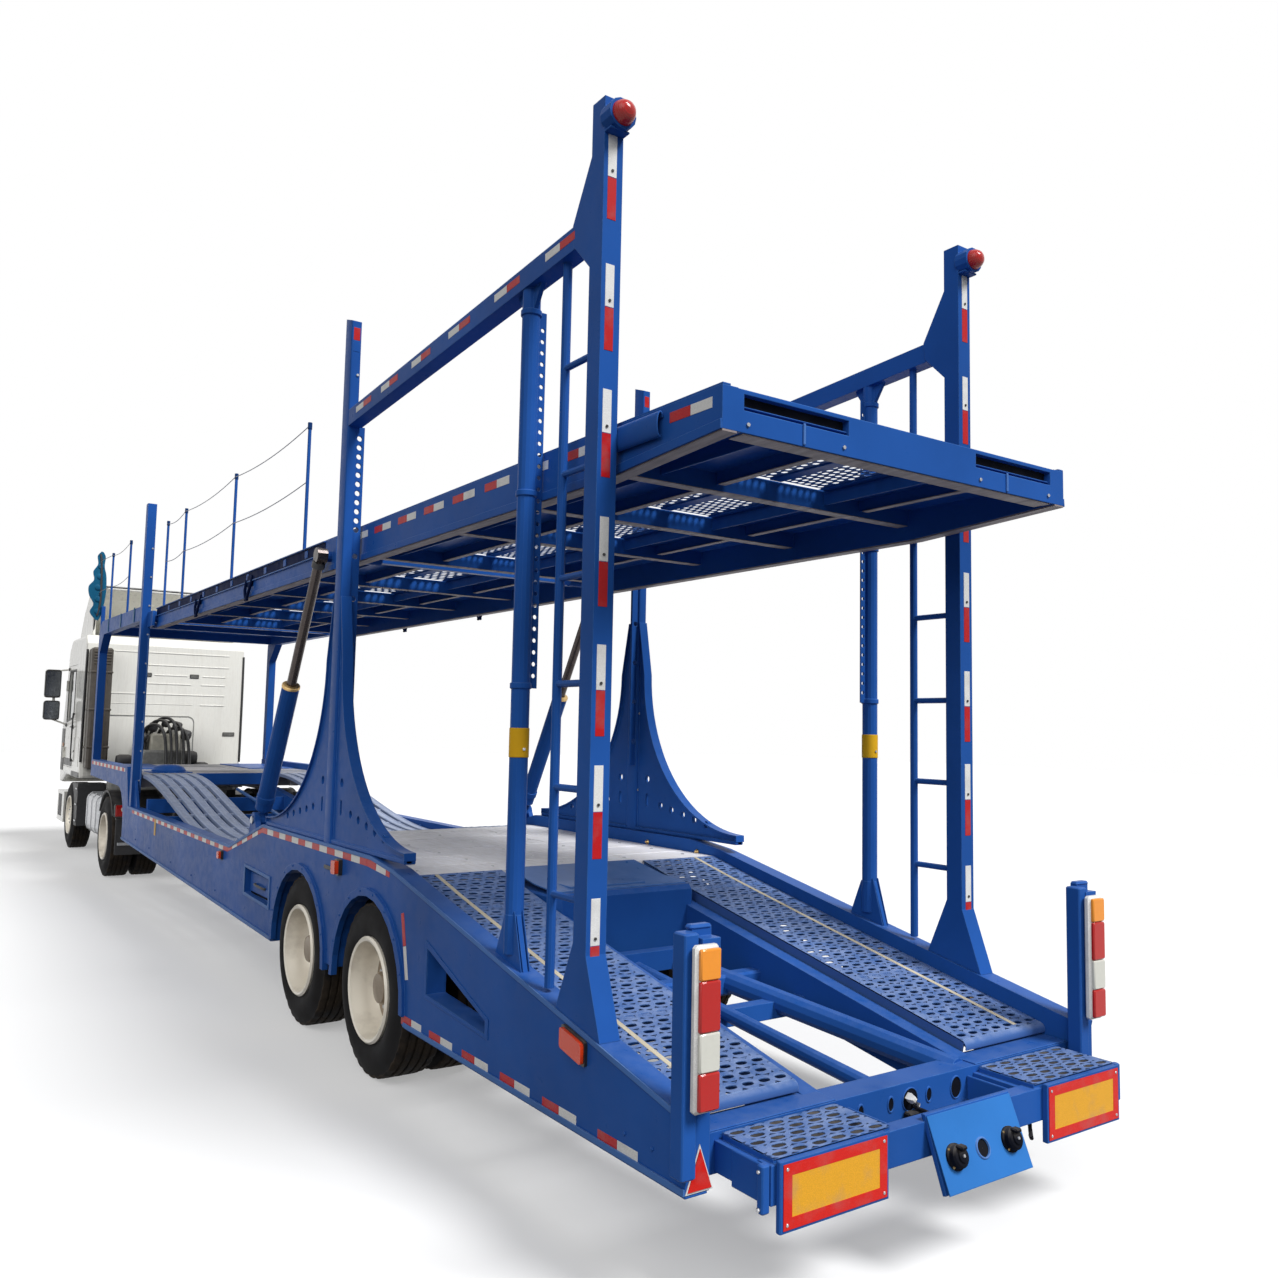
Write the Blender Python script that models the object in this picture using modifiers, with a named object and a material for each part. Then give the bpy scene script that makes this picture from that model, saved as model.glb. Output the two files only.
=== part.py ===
"""Two-deck car transporter: a blue semi-trailer and the white tractor that pulls it.

Metres, +Z up, +X forward, +Y to the left. Stations (x) are measured forward from the
rear edge of the trailer's side frames; the empty "transporter" carries everything and
puts the world origin under the middle of the whole vehicle, on the ground.
"""
import math

import bmesh
import bpy
from mathutils import Matrix, Vector

# Sizes, in metres.
GAP = 0.0003            # between pieces that touch
HALF_WIDTH = 1.25       # outside of the side frames
ORIGIN_X = 8.73         # station of the world origin, middle of the whole length

# trailer wheels and side frames
TYRE_R = 0.505
AXLE_X = (3.11, 4.42)
ARCH_R = 0.56
FRAME_T = 0.11          # thickness of a side frame
REAR_BOTTOM_Z, REAR_TOP_Z = 0.43, 0.70
MID_BOTTOM_Z, NOSE_BOTTOM_Z = 0.47, 0.62
SLOPE_TOP_X, AXLE_SILL_Z = 2.75, 1.29
RIDGE_X, DIP_X, DIP_Z = 5.35, 6.30, 1.04
NECK_X, NECK_TOP_Z, NECK_BOTTOM_Z = 11.30, 1.50, 1.24
TRAILER_FRONT_X = 14.0

# posts, bars, ladder and pillars of the side racks
POST = 0.10
REAR_POST_X, REAR_POST_TOP = 0.69, 4.86
BAR_REAR_Z, BAR_FRONT_Z, BAR_DEPTH = 4.36, 4.19, 0.11
MID_POST_X, MID_POST_LENGTH, MID_POST_TOP = 3.83, 0.13, 4.86
GUSSET_REACH, GUSSET_HEIGHT, GUSSET_T = 1.22, 1.15, 0.03
FRONT_POST_X, FRONT_POST_LENGTH, FRONT_POST_TOP = 10.82, 0.11, 4.70
PILLAR_X, PILLAR_R = 1.40, 0.045
LADDER_X, LADDER_R, RUNG_R = 1.06, 0.022, 0.016
RUNG_Z = (1.34, 1.81, 2.27, 2.75, 3.23, 3.73)
LAMP_R = 0.07

# lower deck
DECK_HALF = HALF_WIDTH - FRAME_T - GAP
TRACK_INNER = 0.50
TRACK_T = 0.05
SPINE_Y, SPINE_T = 0.43, 0.09
AXLE_DECK_Z, WELL_Z, NECK_DECK_Z = 1.20, 0.97, 1.42
KINGPIN_X = 12.90
COUPLER_Z = 1.165       # underside of the gooseneck's coupler plate
NECK_BEAM_X = 11.16     # the spine beams go on under the gooseneck from here

# upper decks
UPPER_HALF = HALF_WIDTH - POST - 0.04
UPPER_TOP_Z, UPPER_DEPTH, REAR_END_DEPTH = 3.41, 0.23, 0.175
ELBOW_X, ELBOW_Z = 4.30, 3.27
ELBOW_Y, ELBOW_WIDE = UPPER_HALF - 0.21, 0.10    # where the elbow's two knuckles meet, and their widths
DECK_PIVOT_X, DECK_PIVOT_Z = 10.62, 3.28
UPPER_BEAM = 0.08
RAIL_POST_X = (5.20, 7.39, 9.50, 10.45)
RAIL_H, RAIL_R = 1.02, 0.014

# lift cylinders
LIFT_Y = HALF_WIDTH - 0.065
FOOT = (5.65, LIFT_Y, 1.30)
EYE = (4.48, LIFT_Y, 3.28)
BARREL_R, ROD_R, BORE_R, BARREL_L = 0.065, 0.036, 0.039, 1.22
EYE_HALF, EYE_R = 0.02, 0.062

# tractor
DRIVE_X, STEER_X = 12.70, 16.40
DRIVE_R = 0.525
RAIL_Y, RAIL_T, RAIL_BOTTOM, RAIL_TOP = 0.38, 0.08, 0.72, 0.97
FRAME_REAR_X, FRAME_FRONT_X = 11.98, 17.10
CAB_REAR_X, CAB_FRONT_X = 15.50, 17.78
CAB_HALF, CAB_FLOOR_Z, CAB_ROOF_Z, CAB_WALL = 1.20, 1.14, 3.40, 0.05
SCREEN_HALF = CAB_HALF - 0.14
INSIDE_HALF = CAB_HALF - 0.10
DOOR_X = (16.38, 17.34)
DOOR_Z = (1.28, 2.95)
DOOR_T, DOOR_GAP = 0.05, 0.006
CAB_PIVOT = (17.64, 0.95)
CAB_NOSE_Z = 1.00        # underside of the cab's nose, over the pivot
PIVOT_LUG_R = 0.044
HINGE_X, HINGE_Y = DOOR_X[1] - DOOR_GAP / 2, CAB_HALF + 0.018
HINGE_R, HINGE_Z = 0.012, (1.50, 2.62)
WHEEL_Y, FRONT_WHEEL_Y = HALF_WIDTH - 0.33, HALF_WIDTH - 0.195   # middles of the twin wheels, of a front wheel
KING_Y, KNUCKLE_R = FRONT_WHEEL_Y - 0.155, 0.05
HUB_BACK = 0.015         # from the twin wheels' middle inwards to their hub's back
AXLE_END = WHEEL_Y - HUB_BACK - GAP
HUB_SEAT = 0.04          # where a front hub meets its spindle, from the wheel's middle

BLUE = (0.012, 0.075, 0.36)
PLATE = (0.42, 0.38, 0.33)
WHITE = (0.80, 0.79, 0.74)
BLACK = (0.015, 0.015, 0.017)
DARK = (0.05, 0.05, 0.055)
CREAM = (0.72, 0.66, 0.55)
STEEL = (0.35, 0.36, 0.38)
GLASS = (0.05, 0.08, 0.09)

# Scene and helpers.
for old in list(bpy.data.objects):
    bpy.data.objects.remove(old, do_unlink=True)
PARTS = bpy.data.collections.new("car transporter truck")
CUTTERS = bpy.data.collections.new("cutters")
for collection in (PARTS, CUTTERS):
    bpy.context.scene.collection.children.link(collection)


def material(name, colour, rough, metal):
    made = bpy.data.materials.new(name)
    made.use_nodes = True
    shader = made.node_tree.nodes["Principled BSDF"]
    shader.inputs["Base Color"].default_value = (*colour, 1.0)
    shader.inputs["Roughness"].default_value = rough
    shader.inputs["Metallic"].default_value = metal
    made.diffuse_color = (*colour, 1.0)
    return made


def rough_object(mesh):
    """A working piece: it stays out of the model until finish() takes it in."""
    piece = bpy.data.objects.new("piece", mesh)
    piece.hide_render = True
    piece.display_type = "WIRE"
    CUTTERS.objects.link(piece)
    return piece


def from_bmesh(bm, snap=True):
    """A piece whose corners sit on a grid of 10 micrometres, so that flush faces meet exactly."""
    mesh = bpy.data.meshes.new("piece")
    for vertex in bm.verts if snap else ():
        vertex.co = [round(value, 5) for value in vertex.co]
    bmesh.ops.recalc_face_normals(bm, faces=bm.faces)
    bm.to_mesh(mesh)
    bm.free()
    return rough_object(mesh)


def box(x0, x1, y0, y1, z0, z1):
    bm = bmesh.new()
    bmesh.ops.create_cube(bm, size=1.0)
    middle = Vector(((x0 + x1) / 2, (y0 + y1) / 2, (z0 + z1) / 2))
    bmesh.ops.transform(
        bm, verts=bm.verts,
        matrix=Matrix.Translation(middle) @ Matrix.Diagonal((x1 - x0, y1 - y0, z1 - z0, 1)))
    return from_bmesh(bm)


def rod(start, end, radius, sides=12, end_radius=None):
    """A round bar or cone between two points."""
    start, end = Vector(start), Vector(end)
    along = end - start
    bm = bmesh.new()
    bmesh.ops.create_cone(
        bm, cap_ends=True, segments=sides, radius1=radius,
        radius2=radius if end_radius is None else end_radius, depth=along.length)
    bmesh.ops.triangulate(bm, faces=bm.faces)
    turn = Vector((0, 0, 1)).rotation_difference(along).to_matrix().to_4x4()
    bmesh.ops.transform(bm, verts=bm.verts,
                        matrix=Matrix.Translation((start + end) / 2) @ turn)
    return from_bmesh(bm)


def evaluated(piece):
    """A piece's faces with its modifiers applied, as triangles in place."""
    bpy.context.view_layer.update()
    graph = bpy.context.evaluated_depsgraph_get()
    mesh = bpy.data.meshes.new_from_object(piece.evaluated_get(graph))
    bm = bmesh.new()
    bm.from_mesh(mesh)
    bmesh.ops.transform(bm, verts=bm.verts, matrix=piece.matrix_world)
    bmesh.ops.triangulate(bm, faces=bm.faces)
    bpy.data.meshes.remove(mesh)
    return bm


def converted(piece):
    """A curve or a modified piece as a plain mesh, its caps welded."""
    bm = evaluated(piece)
    bmesh.ops.remove_doubles(bm, verts=bm.verts, dist=1e-5)
    bpy.data.objects.remove(piece, do_unlink=True)
    return from_bmesh(bm)


def outline(points, y0, y1):
    """A flat outline in the X-Z plane, as thick as from y0 to y1."""
    curve = bpy.data.curves.new("outline", "CURVE")
    curve.dimensions = "2D"
    curve.fill_mode = "BOTH"
    curve.extrude = (y1 - y0) / 2
    spline = curve.splines.new("POLY")
    spline.points.add(len(points) - 1)
    for point, (x, z) in zip(spline.points, points):
        point.co = (x, z, 0, 1)
    spline.use_cyclic_u = True
    piece = rough_object(curve)
    piece.matrix_world = Matrix.Translation((0, (y0 + y1) / 2, 0)) @ Matrix.Rotation(math.pi / 2, 4, "X")
    return converted(piece)


def tube(points, radius, sides=3):
    """A round tube along a path."""
    curve = bpy.data.curves.new("tube", "CURVE")
    curve.dimensions = "3D"
    curve.bevel_depth = radius
    curve.bevel_resolution = sides
    curve.use_fill_caps = True
    spline = curve.splines.new("POLY")
    spline.points.add(len(points) - 1)
    for point, place in zip(spline.points, points):
        point.co = (*place, 1)
    return converted(rough_object(curve))


def turned(profile, centre, steps=20):
    """A profile of (radius, y) turned about the Y axis through centre, a flat side down."""
    mesh = bpy.data.meshes.new("turned")
    count = len(profile)
    half = math.pi / steps
    mesh.from_pydata([(r, y, r * math.tan(half)) for r, y in profile],
                     [(i, (i + 1) % count) for i in range(count)], [])
    piece = rough_object(mesh)
    screw = piece.modifiers.new("turn", "SCREW")
    screw.axis = "Y"
    screw.steps = screw.render_steps = steps
    screw.use_merge_vertices = True
    screw.merge_threshold = 1e-5
    piece.location = centre
    return converted(piece)


def combine(first, others, operation):
    for other in others:
        change = first.modifiers.new("combine", "BOOLEAN")
        change.operation = operation
        change.solver = "EXACT"
        change.object = other
        bm = evaluated(first)
        first.modifiers.clear()
        bm.to_mesh(first.data)
        bm.free()
        bpy.data.objects.remove(other, do_unlink=True)
    return first


def join(first, *others):
    return combine(first, others, "UNION")


def cut(first, *others):
    return combine(first, others, "DIFFERENCE")


def mirrored(piece):
    """The same piece on the other side of the vehicle's middle plane."""
    bm = bmesh.new()
    bm.from_mesh(piece.data)
    bmesh.ops.transform(bm, verts=bm.verts, matrix=Matrix.Diagonal((1, -1, 1, 1)))
    bmesh.ops.reverse_faces(bm, faces=bm.faces)
    return from_bmesh(bm, snap=False)


def arc(cx, cz, radius, start, end, steps):
    """Points of a circular arc, angles in degrees from +X towards +Z."""
    return [(cx + radius * math.cos(math.radians(start + (end - start) * i / steps)),
             cz + radius * math.sin(math.radians(start + (end - start) * i / steps)))
            for i in range(steps + 1)]


def along(table, x):
    """The height at station x of a line given by its (x, z) corners."""
    for (x0, z0), (x1, z1) in zip(table, table[1:]):
        if x0 <= x <= x1:
            return z0 + (z1 - z0) * (x - x0) / (x1 - x0)
    return table[0][1] if x < table[0][0] else table[-1][1]


# Bodies and finish.
vehicle = bpy.data.objects.new("transporter", None)
PARTS.objects.link(vehicle)
vehicle.location = (-ORIGIN_X, 0, 0)
BODIES = {"trailer": (vehicle, Vector((0, 0, 0)))}


def body(name, pivot, parent):
    """An empty on a joint's axis, which carries the pieces that move together."""
    holder = bpy.data.objects.new(f"{name}_axis", None)
    PARTS.objects.link(holder)
    above, above_at = BODIES[parent]
    holder.parent = above
    holder.location = Vector(pivot) - above_at
    holder.empty_display_size = 0.2
    BODIES[name] = (holder, Vector(pivot))


def finish(piece, name, on, colour, rough=0.45, metal=0.0, smooth=True):
    """Name a piece, give it its material and hang it on its body."""
    holder, pivot = BODIES[on]
    piece.data.transform(Matrix.Translation(-pivot))
    piece.name = piece.data.name = name
    piece.data.materials.clear()
    piece.data.materials.append(material(name, colour, rough, metal))
    if smooth:
        piece.data.shade_smooth()
        piece.data.set_sharp_from_angle(angle=math.radians(35))
    CUTTERS.objects.unlink(piece)
    PARTS.objects.link(piece)
    piece.hide_render = False
    piece.display_type = "TEXTURED"
    piece.parent = holder
    return piece


def finish_pair(piece, name, on, colour, **more):
    """The left piece and its mirror image; on is a body's name, with {} for the side."""
    other = mirrored(piece)
    finish(piece, name.format("left"), on.format("left"), colour, **more)
    finish(other, name.format("right"), on.format("right"), colour, **more)


SIDES = (("left", 1), ("right", -1))
body("front_deck", (DECK_PIVOT_X, 0, DECK_PIVOT_Z), "trailer")
body("rear_deck", (ELBOW_X, 0, ELBOW_Z), "front_deck")
body("tractor", (KINGPIN_X, 0, COUPLER_Z), "trailer")
body("cab", (CAB_PIVOT[0], 0, CAB_PIVOT[1]), "tractor")
for side, sign in SIDES:
    body(f"cylinder_{side}", (FOOT[0], sign * FOOT[1], FOOT[2]), "trailer")
    body(f"rod_{side}", (EYE[0], sign * EYE[1], EYE[2]), f"cylinder_{side}")
    body(f"door_{side}", (HINGE_X, sign * HINGE_Y, DOOR_Z[0]), "cab")
    body(f"knuckle_{side}", (STEER_X, sign * KING_Y, DRIVE_R), "tractor")
    body(f"front_wheel_{side}", (STEER_X, sign * FRONT_WHEEL_Y, DRIVE_R), f"knuckle_{side}")
    body(f"drive_wheel_{side}", (DRIVE_X, sign * WHEEL_Y, DRIVE_R), "tractor")
    for number, axle_x in enumerate(AXLE_X, 1):
        body(f"trailer_wheel_{number}_{side}", (axle_x, sign * WHEEL_Y, TYRE_R), "trailer")

# Trailer side frames.
# top edge of a side frame: (station, height)
SILL = ((0.0, REAR_TOP_Z), (SLOPE_TOP_X, 1.25), (3.1, AXLE_SILL_Z), (RIDGE_X, AXLE_SILL_Z),
        (DIP_X, DIP_Z), (FRONT_POST_X + FRONT_POST_LENGTH + 0.06, DIP_Z),
        (NECK_X - 0.12, NECK_TOP_Z), (TRAILER_FRONT_X, NECK_TOP_Z))
inner = HALF_WIDTH - FRAME_T


def side_frame():
    arch_end = math.degrees(math.asin((REAR_BOTTOM_Z - TYRE_R) / ARCH_R))
    web_end = math.degrees(math.asin((MID_BOTTOM_Z + 0.06 - TYRE_R) / ARCH_R))
    front_end = math.degrees(math.asin((MID_BOTTOM_Z - TYRE_R) / ARCH_R))
    edge = [(0.0, REAR_BOTTOM_Z)]
    edge += arc(AXLE_X[0], TYRE_R, ARCH_R, 180 - arch_end, web_end, 14)
    edge += arc(AXLE_X[1], TYRE_R, ARCH_R, 180 - web_end, front_end, 14)
    edge += [(NECK_X, NOSE_BOTTOM_Z)]
    edge += arc(NECK_X + 0.42, NECK_BOTTOM_Z - 0.42, 0.42, 180, 90, 5)
    edge += [(TRAILER_FRONT_X, NECK_BOTTOM_Z + 0.03)]
    edge += list(reversed(SILL))
    frame = outline(edge, inner, HALF_WIDTH)
    # the triangular opening behind the rear wheel, and the step recess ahead of the front one
    window = outline([(2.24, 0.90), (2.24, 0.66), (1.56, 0.62), (1.56, 0.68)],
                     inner - 0.1, HALF_WIDTH + 0.1)
    step = outline([(5.12, 0.70), (5.78, 0.72), (5.78, 0.92), (5.12, 0.90)],
                   HALF_WIDTH - 0.05, HALF_WIDTH + 0.1)
    frame = cut(frame, window, step)
    # raised lip round each wheel arch
    for axle_x in AXLE_X:
        lip = arc(axle_x, TYRE_R, ARCH_R + 0.035, 182, -2, 14)
        lip += list(reversed(arc(axle_x, TYRE_R, ARCH_R - 0.012, 182, -2, 14)))
        frame = join(frame, outline(lip, HALF_WIDTH - 0.02, HALF_WIDTH + 0.018))
    # the post of the tail lamps stands on the rear end
    frame = join(frame, box(0.0, 0.035, inner + 0.005, inner + 0.095, 0.5, 1.36),
                 box(-0.05, 0.01, inner + 0.002, inner + 0.085, 0.75, 1.33))
    # foot of the lift cylinder: two lugs on the sill, with the pin's heads outside them
    x, y, z = FOOT
    for near, far, head in ((inner + 0.002, y - EYE_HALF - GAP, -0.012), (y + EYE_HALF + GAP, HALF_WIDTH - 0.002, 0.012)):
        lug = outline([(x - 0.16, DIP_Z + 0.1), (x + 0.16, DIP_Z)] + arc(x, z, EYE_R, 0, 180, 6), near, far)
        frame = join(frame, lug, rod((x, (near + far) / 2, z), (x, (near if head < 0 else far) + head, z), 0.03, 10))
    return frame


finish_pair(side_frame(), "side_frame_{}", "trailer", BLUE)

# Rear racks.
post_in = HALF_WIDTH - POST


def rear_rack():
    x0, x1 = REAR_POST_X, REAR_POST_X + POST
    foot = along(SILL, x0) + GAP
    centre_y = HALF_WIDTH - POST / 2
    post = outline([(x0 - 0.12, along(SILL, x0 - 0.12) + GAP), (x1 + 0.13, along(SILL, x1 + 0.13) + GAP),
                    (x1, foot + 0.34), (x1, BAR_REAR_Z - BAR_DEPTH - 0.14),
                    (x1 + 0.14, BAR_REAR_Z - BAR_DEPTH + 0.004), (x1 + 0.15, BAR_REAR_Z - 0.006),
                    (x1, BAR_REAR_Z + 0.26), (x1, REAR_POST_TOP), (x0, REAR_POST_TOP),
                    (x0, foot + 0.30)], post_in, HALF_WIDTH)
    # bar from the rear post to the middle post, falling slightly forward
    end = MID_POST_X - GAP
    bar = outline([(x1 - 0.02, BAR_REAR_Z - BAR_DEPTH), (end, BAR_FRONT_Z - BAR_DEPTH),
                   (end, BAR_FRONT_Z), (x1 - 0.02, BAR_REAR_Z)], post_in + 0.005, HALF_WIDTH - 0.001)
    rack = join(post, bar)
    under = BAR_REAR_Z - BAR_DEPTH / 2
    sill = along(SILL, PILLAR_X)
    rack = join(
        rack,
        rod((PILLAR_X, centre_y, sill + 0.17), (PILLAR_X, centre_y, under - 0.04), PILLAR_R, 14),
        rod((PILLAR_X, centre_y, sill + 0.04), (PILLAR_X, centre_y, sill + 0.22), POST / 2 - 0.003, 14,
            PILLAR_R + 0.002),
        rod((LADDER_X, centre_y, along(SILL, LADDER_X) + 0.02), (LADDER_X, centre_y, under), LADDER_R, 10))
    for z in RUNG_Z:
        rack = join(rack, rod((x1 - 0.01, centre_y, z), (LADDER_X, centre_y, z), RUNG_R, 8))
    # triangular gusset under the bar on the pillar's axis
    gusset = outline([(PILLAR_X - 0.17, under), (PILLAR_X, under - 0.26), (PILLAR_X + 0.17, under - 0.01)],
                     centre_y - 0.012, centre_y + 0.012)
    # marker lamp in its round housing, on the rear face near the top
    lamp_z = REAR_POST_TOP - 0.10
    lamp = rod((x0 + 0.01, centre_y, lamp_z), (x0 - 0.07, centre_y, lamp_z), LAMP_R, 14)
    return join(rack, gusset, lamp)


finish_pair(rear_rack(), "rear_rack_{}", "trailer", BLUE)

# Middle and front posts.


def mid_post():
    x0, x1 = MID_POST_X, MID_POST_X + MID_POST_LENGTH
    base = AXLE_SILL_Z + GAP
    post = box(x0, x1, HALF_WIDTH - 0.07, HALF_WIDTH, base, MID_POST_TOP)
    # perforated guide strip on the post's inner side
    strip = box(x0 + 0.02, x0 + 0.035, post_in - 0.02, HALF_WIDTH - 0.06, base + 0.5, BAR_FRONT_Z - 0.1)
    post = join(post, strip)
    y0 = HALF_WIDTH - 0.035 - GUSSET_T / 2
    for sign, edge_x, reach in ((-1, x0, GUSSET_REACH), (1, x1, GUSSET_REACH + 0.12)):
        corner_x = edge_x + sign * reach
        curve = []
        for i in range(9):
            turn = math.radians(90 * i / 8)
            curve.append((corner_x - sign * reach * math.sin(turn) * 0.93,
                          base + 0.06 + GUSSET_HEIGHT * (1 - math.cos(turn))))
        plate = [(edge_x - sign * 0.01, base), (corner_x, base)] + curve
        plate += [(edge_x - sign * 0.01, base + GUSSET_HEIGHT + 0.5)]
        post = join(post, outline(plate if sign > 0 else plate[::-1], y0, y0 + GUSSET_T))
        # flange along the gusset's curved edge and its foot
        post = join(post, box(min(edge_x, corner_x), max(edge_x, corner_x) ,
                              HALF_WIDTH - 0.075, HALF_WIDTH - 0.005, base, base + 0.03))
    return post


finish_pair(mid_post(), "mid_post_{}", "trailer", BLUE)

front_post = box(FRONT_POST_X, FRONT_POST_X + FRONT_POST_LENGTH, post_in, HALF_WIDTH,
                 DIP_Z + GAP, FRONT_POST_TOP)
front_post = join(front_post, outline(
    [(FRONT_POST_X - 0.22, DIP_Z + GAP), (FRONT_POST_X + 0.02, DIP_Z + GAP), (FRONT_POST_X + 0.02, DIP_Z + 0.34)],
    HALF_WIDTH - 0.065, HALF_WIDTH - 0.035))
# bracket of the front upper deck's pivot
front_post = join(front_post, box(DECK_PIVOT_X - 0.08, FRONT_POST_X + 0.01, post_in, post_in + 0.03,
                                  DECK_PIVOT_Z - 0.09, DECK_PIVOT_Z + 0.09))
finish_pair(front_post, "front_post_{}", "trailer", BLUE)

# Fixed front platform.
PLATFORM_X = FRONT_POST_X + FRONT_POST_LENGTH + GAP
PLATFORM_Z = 3.47


def front_platform():
    front, beam_y = TRAILER_FRONT_X, HALF_WIDTH - 0.10
    low = PLATFORM_Z - 0.20
    corner = arc(front - 0.28, PLATFORM_Z - 0.28, 0.28, 90, 0, 6)
    inner_corner = arc(front - 0.28, PLATFORM_Z - 0.28, 0.15, 0, 90, 5)
    inner_corner = [(x, min(z, low + 0.1)) for x, z in inner_corner]
    hoop = [(PLATFORM_X, PLATFORM_Z - 0.03)] + corner
    hoop += [(front, NECK_TOP_Z + GAP), (front - 0.13, NECK_TOP_Z + GAP), (front - 0.13, low - 0.25),
             (front - 0.42, low), (PLATFORM_X, low)]
    left = outline(hoop[::-1], beam_y, HALF_WIDTH)
    right = mirrored(left)
    deck = box(PLATFORM_X + 0.35, front - 0.05, -beam_y - 0.01, beam_y + 0.01, PLATFORM_Z - 0.07, PLATFORM_Z - 0.035)
    deck = join(deck, left, right)
    for x in (PLATFORM_X + 0.30, PLATFORM_X + 1.2, front - 0.14):
        deck = join(deck, box(x, x + 0.10, -beam_y - 0.01, beam_y + 0.01, low + 0.02, PLATFORM_Z - 0.04))
    return deck


platform = front_platform()
for x in (12.26, 13.63):
    platform = join(platform, rod((x, HALF_WIDTH - 0.07, PLATFORM_Z - 0.10), (x, HALF_WIDTH - 0.07, UPPER_TOP_Z + RAIL_H),
                                  RAIL_R, 8))
finish(platform, "front_platform", "trailer", BLUE)

# Trailer chassis.
# top line of the two spine beams: (station, height)
SPINE = ((0.14, 0.60), (2.55, 1.08), (2.95, AXLE_DECK_Z - TRACK_T - GAP), (5.25, AXLE_DECK_Z - TRACK_T - GAP),
         (6.15, WELL_Z - TRACK_T - GAP), (7.9, WELL_Z - TRACK_T - GAP), (10.95, 1.24), (NECK_BEAM_X - GAP, 1.24))
SPINE_LOW = ((0.14, 0.40), (2.1, 0.72), (2.45, 0.84), (5.3, 0.84), (6.0, 0.60), (8.0, 0.62),
             (10.6, 0.90), (NECK_BEAM_X - GAP, 1.16))
CROSS_X = (1.15, 1.9, 5.75, 6.9, 8.1, 9.3, 10.4)
BRACES = (((1.94, -0.17, 0.74), (0.13, -0.40, 0.56), 0.06), ((1.94, 0.13, 0.74), (0.13, 0.11, 0.56), 0.036))


def chassis():
    beam = outline(list(SPINE_LOW) + list(reversed(SPINE)), SPINE_Y, SPINE_Y + SPINE_T)
    frame = join(beam, mirrored(beam))
    # rear cross-beam between the tracks' ends, and the outer cross-members
    wide = inner - GAP
    frame = join(frame, box(0.06, 0.20, -wide, wide, 0.45, 0.60))
    for x in CROSS_X:
        drop = 0.13 if x < SLOPE_TOP_X else 0.03
        top, low = along(SPINE, x) - drop, along(SPINE_LOW, x) + 0.02
        frame = join(frame, box(x, x + 0.08, -wide, wide, max(low, top - 0.16), top))
    # box beam across the open middle, ahead of the rear tracks, and the round braces behind it
    frame = join(frame, box(2.2, 2.46, -SPINE_Y - 0.02, SPINE_Y + 0.02, 0.74, 0.98))
    for start, end, radius in BRACES:
        frame = join(frame, rod(start, end, radius, 12))
    return frame


finish(chassis(), "trailer_chassis", "trailer", BLUE)

# tail frame: carries the short end tracks, the hitch plate and the marker boards


def tail_frame():
    rear, front = -0.24, 0.0597
    end = HALF_WIDTH - 0.19
    tail = box(rear, rear + 0.07, -end, end, 0.44, 0.575)
    for y in (0.42, end - 0.06):
        for sign in (1, -1):
            tail = join(tail, box(rear + 0.02, front, min(sign * y, sign * (y + 0.07)),
                                  max(sign * y, sign * (y + 0.07)), 0.46, 0.57))
    for sign in (1, -1):
        y = sorted((sign * 0.45, sign * (end - 0.02)))
        tail = join(tail, box(rear + 0.01, front - 0.01, y[0], y[1], 0.565, 0.59))
    # tilted hitch plate with its three holes
    plate = outline([(rear - 0.10, 0.33), (rear - 0.085, 0.325), (rear + 0.02, 0.60), (rear + 0.0, 0.60)],
                    -0.26, 0.26)
    tail = join(tail, plate)
    for y in (-0.17, 0.0, 0.17):
        tail = cut(tail, rod((rear - 0.3, y, 0.44), (rear + 0.2, y, 0.44), 0.035, 10))
    return tail


finish(tail_frame(), "tail_frame", "trailer", BLUE)

board = box(-0.265, -0.24 - GAP, HALF_WIDTH - 0.755, HALF_WIDTH - 0.214, 0.35, 0.59)
finish_pair(board, "marker_board_{}", "trailer", (0.85, 0.45, 0.05))

# Lower deck plates.
# walking line of the rear tracks and of the slatted front tracks: (station, height)
REAR_TRACK = ((0.21, 0.66), (2.45, 1.12), (2.80, AXLE_DECK_Z))


def strip_outline(line, thickness):
    return [(x, z - thickness) for x, z in line] + [(x, z) for x, z in reversed(line)]


def rear_track():
    line = [(x, z) for x, z in REAR_TRACK]
    plate = outline(strip_outline(line, TRACK_T), TRACK_INNER + 0.03, DECK_HALF)
    flange = outline(strip_outline(line, 0.14), TRACK_INNER + 0.022, TRACK_INNER + 0.042)
    return join(plate, flange)


finish_pair(rear_track(), "rear_track_{}", "trailer", BLUE)
deck = box(REAR_TRACK[-1][0] + GAP, RIDGE_X, -DECK_HALF, DECK_HALF, AXLE_DECK_Z - TRACK_T, AXLE_DECK_Z)
finish(deck, "axle_deck", "trailer", PLATE)


def s_curve(x0, z0, x1, z1, steps):
    """A smooth step between two levels."""
    return [(x0 + (x1 - x0) * i / steps,
             z0 + (z1 - z0) * (0.5 - 0.5 * math.cos(math.pi * i / steps))) for i in range(steps + 1)]


SLAT_COUNT, SLAT_SPACE = 5, 0.03
SLAT_STEP = (DECK_HALF - TRACK_INNER + SLAT_SPACE) / SLAT_COUNT
SLATS = [(TRACK_INNER + i * SLAT_STEP, TRACK_INNER + (i + 1) * SLAT_STEP - SLAT_SPACE) for i in range(SLAT_COUNT)]
# the tracks are made in two sections, the well's and the neck's, which meet on a cross-member
SLAT_DOWN = s_curve(RIDGE_X + GAP, AXLE_DECK_Z, 6.55, WELL_Z, 4)
SLAT_UP = s_curve(7.4, WELL_Z, 10.97, NECK_DECK_Z, 6)
SLAT_JOINT = SLAT_UP[1]
WELL_LINE = SLAT_DOWN + [SLAT_UP[0], (SLAT_JOINT[0] - GAP, SLAT_JOINT[1])]
NECK_LINE = SLAT_UP[1:]


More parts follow.
